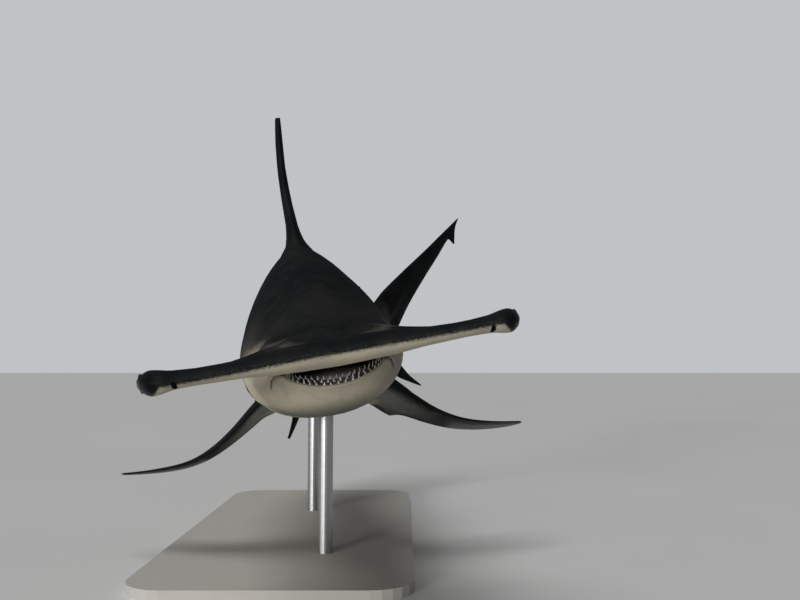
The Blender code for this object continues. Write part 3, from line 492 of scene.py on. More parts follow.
def pairedFin(fin, side):
    # stands out from the flank and droops along its length
    path = droopPath(fin, side)
    marks = np.linspace(0, 1, len(path))
    tilt = math.radians(fin["pitch"][side])
    rootX, rootU, rootZ = fin["root"]

    def place(chord, share, offset):
        angle = np.radians(curve(fin["droop"][side])(share))
        outX, outZ = np.cos(angle), -np.sin(angle)
        below = np.minimum(share, 0) * fin["height"]
        alongX = np.interp(share, marks, path[:, 0]) + below * outX
        alongZ = np.interp(share, marks, path[:, 1]) + below * outZ
        flatX, flatZ = np.sin(angle), np.cos(angle)
        backX, backU, backZ = -flatX * math.sin(tilt), math.cos(tilt), -flatZ * math.sin(tilt)
        upX, upU, upZ = -outZ * backU, outZ * backX - outX * backZ, outX * backU
        x = rootX + alongX + backX * chord + upX * offset
        u = rootU + backU * chord + upU * offset
        return side * x, u, rootZ + alongZ + backZ * chord + upZ * offset
    return tube(finRows, finColumns, finPlace(fin, fin["rear"][side], place))


# The tail fin: two blades from the end of the spine.
upperBlade = {
    "length": 0.975, "angle": 31, "behind": 1, "rows": 90,
    "front": [(0, -0.088), (0.12, -0.1), (0.3, -0.084), (0.6, -0.046), (0.85, -0.018), (1, 0.0)],
    "rear": [(0, 0.145), (0.08, 0.17), (0.16, 0.15), (0.3, 0.112), (0.5, 0.082), (0.7, 0.06), (0.835, 0.043),
             (0.855, 0.052), (0.89, 0.112), (0.905, 0.085), (0.935, 0.04), (0.965, 0.018), (1, 0.006)],
    "thick": [(0, 0.075), (0.1, 0.05), (0.3, 0.034), (0.6, 0.02), (0.9, 0.01), (1, 0.007)],
}
lowerBlade = {
    "length": 0.62, "angle": -43, "behind": -1, "rows": 60,
    "front": [(0, -0.085), (0.15, -0.112), (0.35, -0.118), (0.6, -0.092), (0.8, -0.05), (1, -0.004)],
    "rear": [(0, 0.12), (0.15, 0.03), (0.4, -0.03), (0.7, -0.025), (1, 0.004)],
    "thick": [(0, 0.04), (0.15, 0.028), (0.5, 0.016), (0.9, 0.008), (1, 0.007)],
}
tailU, tailZ = 2.43, 0.065


def makeBlade(blade):
    angle = math.radians(blade["angle"])

    def place(row, column):
        share = finShare(row / blade["rows"])
        chord, offset = finFoil(column, *(curve(blade[key])(share) for key in ("front", "rear", "thick")))
        run = blade["length"] * share
        backU, backZ = math.sin(angle) * blade["behind"], -math.cos(angle) * blade["behind"]
        u = tailU + math.cos(angle) * run + backU * chord
        return offset, u, tailZ + math.sin(angle) * run + backZ * chord
    return tube(blade["rows"], finColumns, place)


# Gill slits, five on each side, from a low to a high angle round the trunk.
gills = {
    "stations": (14.6, 15.9, 17.2, 18.5, 19.8), "low": (-40, -38, -36, -32, -26),
    "high": (24, 30, 32, 32, 28), "bow": 0.9, "width": 0.0045, "frontWidth": 0.0015, "depth": 0.01,
    "flap": 0.0035, "flapAhead": 0.012, "flapWidth": 0.009, "ends": 0.12, "fade": 0.006,
}


# The furrow that runs down from each corner of the mouth, and the fold where the hammer joins the neck; the
# fold is not shaped, only drawn as a painted highlight.
furrow = {"path": [(0.132, -0.041), (0.144, -0.046), (0.153, -0.057), (0.1575, -0.071), (0.157, -0.085)],
          "width": 0.0035, "depth": 0.007, "lip": 0.003, "lipAt": 0.01, "lipWidth": 0.007, "end": (1.0, 0.7)}
fold = {"path": [(0.1, 0.1, 0.034), (0.14, 0.17, 0.036), (0.175, 0.225, 0.028), (0.2, 0.27, 0.01)],
        "width": 0.014}


def furrowPath(side):
    x, z = np.array(furrow["path"]).T
    marks, fine = np.arange(len(x)), np.linspace(0, len(x) - 1, 20)
    x, z = np.interp(fine, marks, x), np.interp(fine, marks, z)
    return np.stack([side * x, bowlFront(x, z), z], 1)


def gillPath(index, side):
    share = np.linspace(0, 1, 24)
    angle = np.radians(gills["low"][index] * (1 - share) + gills["high"][index] * share)
    x, u, z = trunkPoint(gills["stations"][index] + gills["bow"] * (share - 0.5) ** 2, angle)
    return np.stack([side * x, u, z], 1)


def toPath(points, path):
    # distance of each point to a path, how far along it, and the vector from it
    best = np.full(len(points), 1e9)
    share = np.zeros(len(points))
    offset = np.zeros_like(points)
    for i in range(len(path) - 1):
        run = path[i + 1] - path[i]
        t = np.clip((points - path[i]) @ run / (run @ run), 0, 1)
        away = points - path[i] - t[:, None] * run
        distance = np.linalg.norm(away, axis=1)
        nearer = distance < best
        best[nearer], offset[nearer] = distance[nearer], away[nearer]
        share[nearer] = (i + t[nearer]) / (len(path) - 1)
    return best, share, offset


# Fillets where shapes meet: the depth of a crease that counts in full, and the least weight that counts.
fillet = {"hollow": 0.0004, "least": 0.05, "spread": 4, "repeats": 40}


def hollowness(mesh, points):
    # how far each point lies in a hollow crease, spread to its neighbours
    edges = np.empty(len(mesh.edges) * 2, np.int64)
    mesh.edges.foreach_get("vertices", edges)
    a, b = edges.reshape(-1, 2).T
    count = np.bincount(a, minlength=len(points)) + np.bincount(b, minlength=len(points))

    def average(values):
        total = np.bincount(a, values[b], len(points)) + np.bincount(b, values[a], len(points))
        return total / np.maximum(count, 1)

    mean = np.stack([average(points[:, i]) for i in range(3)], 1)
    hollow = np.sum((mean - points) * normals(mesh), axis=1)
    weight = np.clip(hollow / fillet["hollow"], 0, 1)
    for _ in range(fillet["spread"]):
        weight = np.maximum(weight, average(weight))
    return weight


def nearDetail(points):
    # the mouth, the eyes and the nostrils keep their edges
    x, u, z = points.T
    x = np.abs(x)
    inMouth = (x < 0.16) & (np.abs(u) < 0.42) & (z < -0.033) & (z > -0.125)
    return inMouth | (x > 0.78 * hammer["half"])


def softenHollows(obj):
    # fillets where shapes meet, apart from the fine parts
    points = coordinates(obj.data)
    weight = hollowness(obj.data, points) * ~nearDetail(points)
    group = obj.vertex_groups.new(name="hollow")
    for level in np.unique(np.round(weight[weight > fillet["least"]], 1)):
        group.add(np.nonzero(np.round(weight, 1) == level)[0].tolist(), float(level), "REPLACE")
    modify(obj, "SMOOTH", factor=0.5, iterations=fillet["repeats"], vertex_group="hollow")
    obj.vertex_groups.clear()


def gillShape(points, index, side):
    # how far points lie in a gill slit and on the flap in front of it, as shares
    distance, share, offset = toPath(points, gillPath(index, side))
    ends = np.clip(np.minimum(share, 1 - share) / gills["ends"], 0, 1)
    behind = offset[:, 1]
    back, ahead = np.clip(behind, 0, 1) / gills["width"], np.clip(-behind, 0, 1) / gills["frontWidth"]
    slit = np.exp(-back ** 2 - ahead ** 2)
    flap = bell(behind + gills["flapAhead"], gills["flapWidth"])
    close = bell(np.maximum(distance - np.abs(behind), 0), gills["fade"]) * ends
    return slit * close, flap * close


def nearGills(points, side):
    x, u, _ = points.T
    return np.nonzero((u > 0.48) & (u < 0.73) & (x * side > 0.12))[0]


def sculpt(obj):
    # gill slits with their flaps, and the furrow below each corner of the mouth
    points = coordinates(obj.data)
    out = normals(obj.data)
    move = np.zeros(len(points))
    for side in (-1, 1):
        chosen = nearGills(points, side)
        for index in range(len(gills["stations"])):
            slit, flap = gillShape(points[chosen], index, side)
            move[chosen] += gills["flap"] * flap - gills["depth"] * slit
        path = furrowPath(side)
        close = np.nonzero(np.linalg.norm(points - path.mean(0), axis=1) < 0.08)[0]
        distance, share, _ = toPath(points[close], path)
        swell = furrow["lip"] * bell(distance - furrow["lipAt"], furrow["lipWidth"])
        groove = furrow["depth"] * bell(distance, furrow["width"])
        move[close] += smoothStep(share, *furrow["end"]) * (swell - groove)
    setCoordinates(obj.data, points + out * move[:, None])


skinSize = {"voxel": 0.0028, "quickVoxel": 0.006, "triangles": 192000}


def makeSkin():
    core = meshObject("skin", makeTrunk())
    combine(core, [makeHammer(), ball(bowl["centre"], bowl["radii"], 5)], "UNION")
    combine(core, [makeMouth()], "DIFFERENCE")
    additions = [makeGum(), makeLip()]
    additions += [medianFin(fin) for fin in (firstDorsal, secondDorsal, anal)]
    additions += [pairedFin(fin, side) for fin in (pectoral, pelvic) for side in (-1, 1)]
    additions += [makeBlade(blade) for blade in (upperBlade, lowerBlade)]
    additions += [makeLid(side) for side in (-1, 1)]
    whole = bmesh.new()
    whole.from_mesh(core.data)
    bpy.data.objects.remove(core, do_unlink=True)
    skin = meshObject("skin", whole, *additions)
    voxel = skinSize["voxel"]
    modify(skin, "REMESH", mode="VOXEL", voxel_size=voxel)
    for side in (-1, 1):
        cutOut(skin, ball(eyeCentre(side), (eye["radius"],) * 3))
        cutOut(skin, ball(nostrilCentre(side), nostril["radii"]))
    print("skin:", len(skin.data.vertices), "points after remeshing")
    modify(skin, "SMOOTH", factor=0.5, iterations=3)
    softenHollows(skin)
    sculpt(skin)
    thinOut(skin)
    return skin


def thinOut(obj):
    # fewer triangles where the skin is plain, all of them at the mouth, the gills and the ends of the head
    count = sum(len(face.vertices) - 2 for face in obj.data.polygons)
    if count < skinSize["triangles"]:
        return
    points = coordinates(obj.data)
    x, u, z = points.T
    x, u = np.abs(x), np.abs(u)
    gillArea = (x > 0.14) & (u > 0.5) & (u < 0.72) & (z < 0.16)
    corner = (x > 0.12) & (x < 0.17) & (u < 0.36) & (z < -0.03) & (z > -0.1)
    kept = nearDetail(points) | corner | gillArea
    group = obj.vertex_groups.new(name="plain")
    group.add(np.nonzero(~kept)[0].tolist(), 1.0, "REPLACE")
    modify(obj, "DECIMATE", ratio=skinSize["triangles"] / count, use_collapse_triangulate=True,
           vertex_group="plain", vertex_group_factor=1.0)
    obj.vertex_groups.clear()
    print("skin:", len(obj.data.polygons), "faces kept")


def store(mesh, name, values):
    # a value or a vector on every point, for the materials
    kind, field = ("FLOAT_VECTOR", "vector") if values.ndim == 2 else ("FLOAT", "value")
    attribute = mesh.attributes.new(name, kind, "POINT")
    attribute.data.foreach_set(field, np.ascontiguousarray(values, np.float32).ravel())


def finShares(points, fin, side):
    # shares of the height and the chord, run from the root, distance off the fin and share of the base
    path = droopPath(fin, side) + np.array((fin["root"][0], fin["root"][2]))
    flat = np.stack([points[:, 0] * side, points[:, 2]], 1)
    nearest = np.argmin(((flat[:, None, :] - path[None]) ** 2).sum(2), axis=1)
    share = nearest / (len(path) - 1)
    outward = (path[1] - path[0]) / np.linalg.norm(path[1] - path[0])
    run = np.where(nearest > 1, share * fin["height"], (flat - path[0]) @ outward)
    tilt = math.radians(fin["pitch"][side])
    chord = (points[:, 1] - fin["root"][1]) / math.cos(tilt)
    angle = np.radians(curve(fin["droop"][side])(share))
    across = np.stack([np.sin(angle), np.cos(angle)], 1)
    off = ((flat - path[nearest]) * across).sum(1) + math.sin(tilt) * chord
    front, rear = (curve(edge)(share) * fin["base"] for edge in (fin["front"], fin["rear"][side]))
    return share, (chord - front) / (rear - front), run, off, chord / fin["base"]


# Where the skin's colours change. A pair says where a change begins and where it is full. The two lines give
# the height of the dark back's edge, across the hammer and along the flank.
marks = {
    "hammerLine": ((-0.43, -0.405, -0.385, -0.3, -0.1, 0.38, 0.41, 0.43),
                   (-0.05, -0.024, -0.007, -0.008, -0.002, -0.002, -0.03, -0.05)),
    "flankLine": [(3.5, 0.2), (8, 0.5), (14, -0.1), (24, -2.2), (40, -2.6), (60, -0.8), (79, 6.5)],
    "hammer": (0.3, 0.2), "hammerSoft": 0.003, "flankSoft": 0.05, "dark": -0.3, "tail": (2.42, 2.6),
    "flesh": (0.0045, 0.0075), "gloss": (0.84, 0.93), "slit": (0.25, 0.8), "nostril": (1.3, 1.1),
    "up": (0.2, 0.7), "chinShade": ((-0.115, -0.172), (0.62, 0.5)),
    "shade": ((0.03, 0.2), (0.16, 0.24), (0.6, 0.45), (0, -0.04)),
}
# The pectoral fins are grey below, partly as painted shade, and dark at the edges and the tip. The right one
# turns paler by the root.
finMarks = {
    "off": (0.06, 0.034), "clear": (0.07, 0.11), "root": (-0.02, 0.035), "ahead": (-0.35, -0.1),
    "behind": (1.9, 1.75), "turn": (0.4, 0.1), "below": (-0.25, 0.25), "front": (0.26, 0.04),
    "rear": (0.62, 0.98), "tip": (0.12, 0.5), "tipDark": 0.94, "rimRoot": (-0.01, 0.035), "pale": 0.36,
}


def markFins(points, out, values):
    x, u, z = points.T
    halfWidth = curve(trunk["halfWidth"])(u / percent) * percent
    for side in (-1, 1):
        chosen = np.nonzero((x * side > halfWidth * 0.7) & (u > 0.6) & (u < 1.3) & (z < 0.1))[0]
        share, chord, run, off, back = finShares(points[chosen], pectoral, side)
        step = {key: smoothStep(value, *finMarks[key]) for key, value in {
            "off": np.abs(off), "clear": run, "root": run, "ahead": chord, "behind": back, "turn": share,
            "rear": chord, "tip": share, "rimRoot": run}.items()}
        onFin = step["root"] * np.maximum(step["off"], step["clear"]) * (step["ahead"] * step["behind"])
        turned = step["turn"] * (side < 0)
        beneath = smoothStep(turned * 0.45 - out[chosen, 2], *finMarks["below"])
        start, full = finMarks["front"]
        rim = np.maximum(smoothStep(chord, start - turned * 0.18, full - turned * 0.03), step["rear"])
        rim = np.maximum(rim, step["tip"] * finMarks["tipDark"])
        values["fin"][chosen] = onFin
        values["darkEdgeAndShade"][chosen] = rim * onFin * step["rimRoot"]
        values["pale"][chosen] *= 1 - onFin
        values["pale"][chosen] += (finMarks["pale"] * beneath + marks["dark"]) * onFin


def markMouth(points):
    # the wet flesh inside the lips
    x, u, z = points.T
    deep = u - bowlFront(x, z)
    inside = (np.abs(x - mouth["middle"]) < mouth["half"] * 0.985) & (u < 0.46) & (z < mouth["top"] + 0.018)
    inside &= z > lipHeight(x) - 0.02
    inside &= (z < roofHeight(x) + 0.003) | (deep > 0.024)
    return np.where(inside, smoothStep(deep, *marks["flesh"]), 0.0)


def markFolds(points, values):
    # painted shade in the gill slits, along the furrows below the corners of the mouth and in the nostrils,
    # and a painted highlight along the folds at the neck
    x, u, z = points.T
    darkEdgeAndShade = values["darkEdgeAndShade"]
    for side in (-1, 1):
        chosen = nearGills(points, side)
        for index in range(len(gills["stations"])):
            slit, _ = gillShape(points[chosen], index, side)
            darkEdgeAndShade[chosen] = np.maximum(darkEdgeAndShade[chosen], smoothStep(slit, *marks["slit"]) * 0.9)
        path = np.array(fold["path"]) * np.array((side, 1, 1))
        values["foldHighlight"] = np.maximum(values["foldHighlight"], bell(toPath(points, path)[0], fold["width"]))
        path = furrowPath(side)
        distance, share, _ = toPath(points, path)
        lineX = np.interp(z, path[::-1, 2], path[::-1, 0] * side)
        nearer = (x * side > 0.05) & (distance < 0.03)
        values["line"][nearer] = (np.sign(x * side - lineX) * distance)[nearer]
        fade = smoothStep(share, 0, 0.04) * smoothStep(share, *furrow["end"])
        values["lineFade"][nearer] = fade[nearer]
        hole = np.linalg.norm((points - nostrilCentre(side)) / nostril["radii"], axis=1)
        darkEdgeAndShade[:] = np.maximum(darkEdgeAndShade, smoothStep(hole, *marks["nostril"]))


def markSkin(obj):
    # pale: height below the edge of the dark back; soft: how gradual that edge is; line: distance from the
    # furrow, below zero on its inner side; the others are shares
    mesh = obj.data
    points, out = coordinates(mesh), normals(mesh)
    x, u, z = points.T
    station = u / percent
    onHammer = smoothStep(u, *marks["hammer"])
    flankLine = curve(marks["flankLine"])(station) * percent
    edge = flankLine + (np.interp(x, *marks["hammerLine"]) - flankLine) * onHammer
    values = {name: np.zeros(len(points)) for name in ("fin", "darkEdgeAndShade", "foldHighlight", "lineFade")}
    values["line"] = np.full(len(points), 0.1)
    values["pale"] = edge - z
    values["soft"] = marks["flankSoft"] + (marks["hammerSoft"] - marks["flankSoft"]) * onHammer
    markFins(points, out, values)
    below = (z < curve(trunk["belly"])(station) * percent - 0.008) & (u > 1.55)
    above = (z > curve(trunk["back"])(station) * percent + 0.004) & (u > 0.6)
    dark = np.maximum(np.maximum(below, above), smoothStep(u, *marks["tail"]))
    values["pale"] = values["pale"] * (1 - dark) + marks["dark"] * dark
    markFolds(points, values)
    values["flesh"] = markMouth(points)
    values["gloss"] = smoothStep(np.abs(x) / hammer["half"], *marks["gloss"])
    values["up"] = smoothStep(out[:, 2], *marks["up"])
    # the chin mark is painted shade under the jaw, and the shade mark is painted shade on its left cheek
    for name, spots in (("chinShade", (z, u)), ("shade", (x, u, u, z))):
        values[name] = np.prod([smoothStep(spot, *pair) for spot, pair in zip(spots, marks[name])], axis=0)
    store(mesh, "place", points)
    for name, numbers in values.items():
        store(mesh, name, numbers)


def bendObject(obj):
    # bends a straight piece to the pose and shades it smooth
    setCoordinates(obj.data, bend(coordinates(obj.data)))
    obj.data.shade_smooth()
    return obj


# Teeth: three rows below, two above, each tooth a thin curved blade.
teeth = {
    "width": 0.0135, "height": 0.0094, "root": 0.004, "flat": 0.42, "waist": 0.35, "hook": 0.1,
    "lowerRows": (0.04, 0.42, 0.82), "lowerCount": 21, "lowerWidth": 0.93, "upperSetBack": (0.05, 0.06),
    "upperCount": 21, "upperWidth": 0.84, "upperRoot": -0.026, "uneven": 0.06, "seed": 4,
}


def toothShape():
    bm = bmesh.new()
    bmesh.ops.create_cone(bm, cap_ends=True, segments=8, radius1=0.5, radius2=0.03, depth=1)
    for height in (-0.25, 0.0, 0.25):
        everything = bm.verts[:] + bm.edges[:] + bm.faces[:]
        bmesh.ops.bisect_plane(bm, geom=everything, plane_co=(0, 0, height), plane_no=(0, 0, 1))
    for vert in bm.verts:
        rise = vert.co.z + 0.5
        narrow = 1 - teeth["waist"] * math.sin(math.pi * rise)
        vert.co.x *= narrow
        vert.co.y = vert.co.y * teeth["flat"] * narrow + teeth["hook"] * rise * rise
        vert.co.z = rise
    return bm


def makeTeeth():
    rng = np.random.default_rng(teeth["seed"])
    shape = bpy.data.meshes.new("toothShape")
    toothShape().to_mesh(shape)
    bm = bmesh.new()

    def add(foot, axis, inward, size):
        side = axis.cross(inward).normalized()
        turn = Matrix((side, side.cross(axis) * -1, axis)).transposed().to_4x4()
        width, height = teeth["width"] * size, teeth["height"] * size + teeth["root"]
        wobble = Matrix.Rotation(rng.normal(0, 0.12), 4, "Y") @ Matrix.Rotation(rng.normal(0, 0.15), 4, "Z")
        matrix = Matrix.Translation(foot) @ turn @ wobble @ Matrix.Diagonal((width, width, height, 1))
        start = len(bm.verts)
        bm.from_mesh(shape)
        bm.verts.ensure_lookup_table()
        bmesh.ops.transform(bm, matrix=matrix, verts=bm.verts[start:])

    for row, share in enumerate(teeth["lowerRows"]):
        count = teeth["lowerCount"] + row % 2
        for i in range(count):
            spot, inward, room = gumFrame(acrossMouth(teeth["lowerWidth"], (i + 0.5) / count, 0.97))
            inward = Vector((*inward, 0))
            rise, depth = gumSize(room)
            foot = Vector(spot) + inward * (0.006 + depth * share)
            foot.z += rise * min(share * 1.24, 1) - teeth["root"]
            size = (0.55 + 0.45 * room) * (1 - 0.08 * row) * (1 + rng.normal(0, teeth["uneven"]))
            lean = Vector((0, 0, 1)) + inward * (-0.35 + 0.45 * share)
            add(foot, lean.normalized(), inward, size)
    for setBack in teeth["upperSetBack"]:
        for i in range(teeth["upperCount"]):
            x = acrossMouth(teeth["upperWidth"], (i + 0.5) / teeth["upperCount"])
            _, inward, room = gumFrame(x)
            inward = Vector((*inward, 0))
            foot = Vector((x, bowlFront(x, mouth["top"]), teeth["upperRoot"])) + inward * setBack
            size = (0.55 + 0.4 * room) * (1 + rng.normal(0, teeth["uneven"]))
            add(foot, Vector((0, 0, -1)), inward, size)
    bpy.data.meshes.remove(shape)
    bmesh.ops.recalc_face_normals(bm, faces=bm.faces)
    return bendObject(meshObject("teeth", bm))


tongue = {"centre": (mouth["middle"], 0.335, -0.076), "radii": (0.108, 0.08, 0.024)}


def makeTongue():
    return bendObject(meshObject("tongue", ball(tongue["centre"], tongue["radii"], 5)))


def makeEye(side):
    bm = ball(eyeCentre(side), (eye["radius"] - eye["gap"],) * 3, 5)
    obj = meshObject("eyeLeft" if side > 0 else "eyeRight", bm)
    local = (coordinates(obj.data) - np.array(eyeCentre(side))) / eye["radius"]
    store(obj.data, "look", local * np.array((side, 1, 1)))
    return bendObject(obj)


class Wire:
    # a socket that takes part in sums
    def __init__(self, paint, socket):
        self.paint, self.socket = paint, socket

    def sum(self, operation, *others):
        return self.paint.node("ShaderNodeMath", {"operation": operation}, dict(enumerate((self, *others))))

    def __add__(self, other):
        return self.sum("ADD", other)

    def __sub__(self, other):
        return self.sum("SUBTRACT", other)

    def __mul__(self, other):
        return self.sum("MULTIPLY", other)

    def __truediv__(self, other):
        return self.sum("DIVIDE", other)

    def __pow__(self, other):
        return self.sum("POWER", other)

    def __rsub__(self, other):
        return self.paint.node("ShaderNodeMath", {"operation": "SUBTRACT"}, {0: other, 1: self})

    __radd__, __rmul__ = __add__, __mul__


class Paint:
    # a material and the nodes that feed its Principled shader
    def __init__(self, name):
        self.material = bpy.data.materials.new(name)
        self.material.use_nodes = True
        self.tree = self.material.node_tree
        self.shader = self.tree.nodes["Principled BSDF"]

    def node(self, kind, settings=None, sockets=None, out=0):
        made = self.tree.nodes.new(kind)
        for key, value in (settings or {}).items():
            setattr(made, key, value)
        for key, value in (sockets or {}).items():
            self.feed(made.inputs[key], value)
        return Wire(self, made.outputs[out])

    def feed(self, socket, value):
        if isinstance(value, Wire):
            self.tree.links.new(value.socket, socket)
        elif isinstance(value, tuple) and len(value) == 3 and socket.type == "RGBA":
            socket.default_value = (*value, 1)
        else:
            socket.default_value = value

    def read(self, name, vector=False):
        return self.node("ShaderNodeAttribute", {"attribute_name": name}, out=1 if vector else 2)

    def spot(self):
        return self.node("ShaderNodeTexCoord", out="Object")

    def noise(self, vector, scale, detail=4.0, roughness=0.5, distortion=0.0):
        sockets = {"Vector": vector, "Scale": scale, "Detail": detail, "Roughness": roughness}
        return self.node("ShaderNodeTexNoise", {}, {**sockets, "Distortion": distortion})

    def stretch(self, vector, scale, turn=(0, 0, 0)):
        return self.node("ShaderNodeMapping", {}, {"Vector": vector, "Scale": scale, "Rotation": turn})

    def step(self, value, low, high, start=0.0, end=1.0):
        sockets = {"Value": value, "From Min": low, "From Max": high, "To Min": start, "To Max": end}
        return self.node("ShaderNodeMapRange", {"interpolation_type": "SMOOTHSTEP"}, sockets)

    def mix(self, factor, first, second):
        # 6, 7 and 2 are the colour sockets
        return self.node("ShaderNodeMix", {"data_type": "RGBA"}, {0: factor, 6: first, 7: second}, out=2)

    def bump(self, height, distance, strength=1.0, below=None):
        sockets = {"Height": height, "Distance": distance, "Strength": strength}
        if below:
            sockets["Normal"] = below
        return self.node("ShaderNodeBump", {}, sockets)

    def finish(self, **sockets):
        for name, value in sockets.items():
            self.feed(self.shader.inputs[name.replace("_", " ")], value)
        return self.material


def skinPaint():
    colours = {
        "back": (0.0032, 0.0042, 0.0054), "backBrown": (0.0092, 0.0094, 0.0092),
        "flank": (0.075, 0.071, 0.063), "cream": (0.46, 0.415, 0.315), "creamGrey": (0.3, 0.29, 0.245),
        "finUnderShade": (0.2, 0.215, 0.2), "flesh": (0.055, 0.051, 0.053), "fleshPale": (0.2, 0.185, 0.185),
        "scratch": (0.2, 0.165, 0.12), "bulb": (0.0045, 0.005, 0.0055), "foldHighlight": (0.13, 0.12, 0.105),
        "chinShade": (0.15, 0.155, 0.13), "rim": (0.01, 0.012, 0.013), "cheekShade": (0.17, 0.175, 0.16),
    }
    paint = Paint("sharkSkin")
    where = paint.read("place", vector=True)
    pale, soft = paint.read("pale"), paint.read("soft")
    flesh, darkEdgeAndShade, gloss, fin = (paint.read(name) for name in ("flesh", "darkEdgeAndShade", "gloss", "fin"))
    broad = paint.noise(where, 4.5, 3.0, 0.55)
    patches = paint.noise(where, 16.0, 5.0, 0.6, 0.6)
    ragged = paint.noise(where, 110.0, 6.0, 0.7, 0.5)
    grain = paint.noise(where, 900.0, 2.0, 0.5)
    # the back, darker along the midline, browner towards the flank
    back = paint.mix(paint.step(patches + broad * 0.6, 0.66, 1.0), colours["back"], colours["backBrown"])
    nearEdge = paint.step(pale + (broad - 0.5) * 0.06, -0.17, 0.02)
    sideways = 1.0 - paint.read("up") * 0.85
    back = paint.mix(nearEdge * (soft * 20.0) * sideways * 0.9, back, colours["flank"])
    # a painted highlight along the fold where the hammer joins the neck
    back = paint.mix(paint.read("foldHighlight") * (patches * 0.9), back, colours["foldHighlight"])
    # the cream underside with grey clouds and faint scratches
    cream = paint.mix(paint.step(patches, 0.42, 0.72) * 0.45, colours["cream"], colours["creamGrey"])
    lines = paint.noise(paint.stretch(where, (14.0, 60.0, 160.0), (0.3, 0.2, 0.5)), 1.0, 3.0, 0.6, 1.2)
    cream = paint.mix(paint.step(lines, 0.64, 0.73) * 0.5, cream, colours["scratch"])
    # painted shade under the chin and along the lower rim of the jaw
    cream = paint.mix(paint.read("chinShade"), cream, colours["chinShade"])
    # painted shade on the jaw's left side, behind the corner of the mouth
    cream = paint.mix(paint.read("shade") * (patches * 0.7 + 0.3), cream, colours["cheekShade"])
    # the pectoral fins' undersides, grey with pale streaks; the grey is partly painted shade
    streaks = paint.noise(paint.stretch(where, (10.0, 42.0, 42.0)), 1.0, 4.0, 0.6, 0.8)
    shadedFinUnderside = paint.mix(paint.step(streaks, 0.45, 0.7), colours["finUnderShade"], colours["creamGrey"])
    cream = paint.mix(fin * 0.92, cream, shadedFinUnderside)
    # the ragged edge between them
    edge = pale + (ragged - 0.5) * (soft * 0.9 + 0.005) + (patches - 0.5) * 0.005
    below = paint.step(edge / (soft * 0.9 + 0.0012), -1.0, 1.0)
    # fine flecks on both sides of the sharp edge on the hammer
    specks = paint.noise(where, 420.0, 3.0, 0.6, 0.4)
    sharp = paint.step(soft, 0.02, 0.004)
    flecks = paint.step(specks, 0.56, 0.64) * paint.step(pale, -0.016, -0.002) * sharp
    spots = paint.step(specks, 0.5, 0.42) * paint.step(pale, 0.0075, 0.001) * sharp
    colour = paint.mix(flecks * 0.3, back, colours["creamGrey"])
    colour = paint.mix(below, colour, paint.mix(spots * 0.75, cream, colours["rim"]))
    # dark edges of the fins, painted shade in the gill slits, the nostrils and along the furrow, the dark
    # ends of the head and the wet mouth
    # a painted shade line along the groove of each furrow
    side = paint.read("line") + (specks - 0.5) * 0.0016
    furrowShade = paint.step(side * side, 0.004 ** 2, 0.0016 ** 2) * paint.read("lineFade")
    colour = paint.mix(darkEdgeAndShade, colour, colours["rim"])
    colour = paint.mix(furrowShade * 0.92, colour, colours["rim"])
    colour = paint.mix(gloss * (1.0 - below * 0.9), colour, colours["bulb"])
    inside = paint.mix(paint.step(patches, 0.4, 0.7), colours["flesh"], colours["fleshPale"])
    colour = paint.mix(flesh, colour, inside)
    rough = paint.step(patches + ragged * 0.4, 0.4, 1.0, 0.58, 0.7) - gloss * 0.38 - flesh * 0.3
    fine = paint.bump(grain, 0.0006, 0.35)
    wrinkles = paint.bump(ragged, 0.0018, 0.35, fine)
    return paint.finish(Base_Color=colour, Roughness=rough, Normal=wrinkles, Specular_IOR_Level=0.05)


def teethPaint():
    paint = Paint("toothEnamel")
    where = paint.spot()
    stain = paint.step(paint.noise(where, 180.0, 3.0), 0.45, 0.75)
    colour = paint.mix(stain * 0.6, (0.9, 0.89, 0.83), (0.7, 0.65, 0.54))
    return paint.finish(Base_Color=colour, Roughness=0.22 + stain * 0.2)


def tonguePaint():
    paint = Paint("tongueFlesh")
    where = paint.spot()
    clouds = paint.noise(where, 26.0, 5.0, 0.6)
    bumps = paint.noise(where, 260.0, 2.0)
    colour = paint.mix(paint.step(clouds, 0.35, 0.7), (0.3, 0.28, 0.29), (0.5, 0.46, 0.47))
    wet = 0.28 + clouds * 0.2
    return paint.finish(Base_Color=colour, Roughness=wet, Normal=paint.bump(bumps, 0.0012, 0.5))


def eyePaint():
    paint = Paint("eyeGloss")
    look = paint.read("look", vector=True)
    parts = paint.node("ShaderNodeSeparateXYZ", {}, {0: look})
    u, z = Wire(paint, parts.socket.node.outputs[1]), Wire(paint, parts.socket.node.outputs[2])
    ring = (u * u + z * z) ** 0.5
    slit = ((u * 2.6) ** 2.0 + z * z) ** 0.5
    streaks = paint.noise(look, 9.0, 5.0, 0.7)
    iris = paint.mix(streaks, (0.03, 0.031, 0.024), (0.085, 0.085, 0.062))
    colour = paint.mix(paint.step(ring, 0.62, 0.72), iris, (0.012, 0.012, 0.013))
    colour = paint.mix(paint.step(slit, 0.46, 0.4), colour, (0.004, 0.004, 0.004))
    return paint.finish(Base_Color=colour, Roughness=0.06 + streaks * 0.03, Coat_Weight=1.0)


def basePaint():
    paint = Paint("standPaint")
    where = paint.spot()
    wear = paint.step(paint.noise(where, 5.0, 6.0, 0.6), 0.5, 0.8)
    speckle = paint.noise(where, 420.0, 3.0)
    colour = paint.mix(wear * 0.5, (0.46, 0.44, 0.4), (0.38, 0.365, 0.33))
    matt = 0.5 + speckle * 0.2
    return paint.finish(Base_Color=colour, Roughness=matt, Normal=paint.bump(speckle, 0.0005, 0.4))


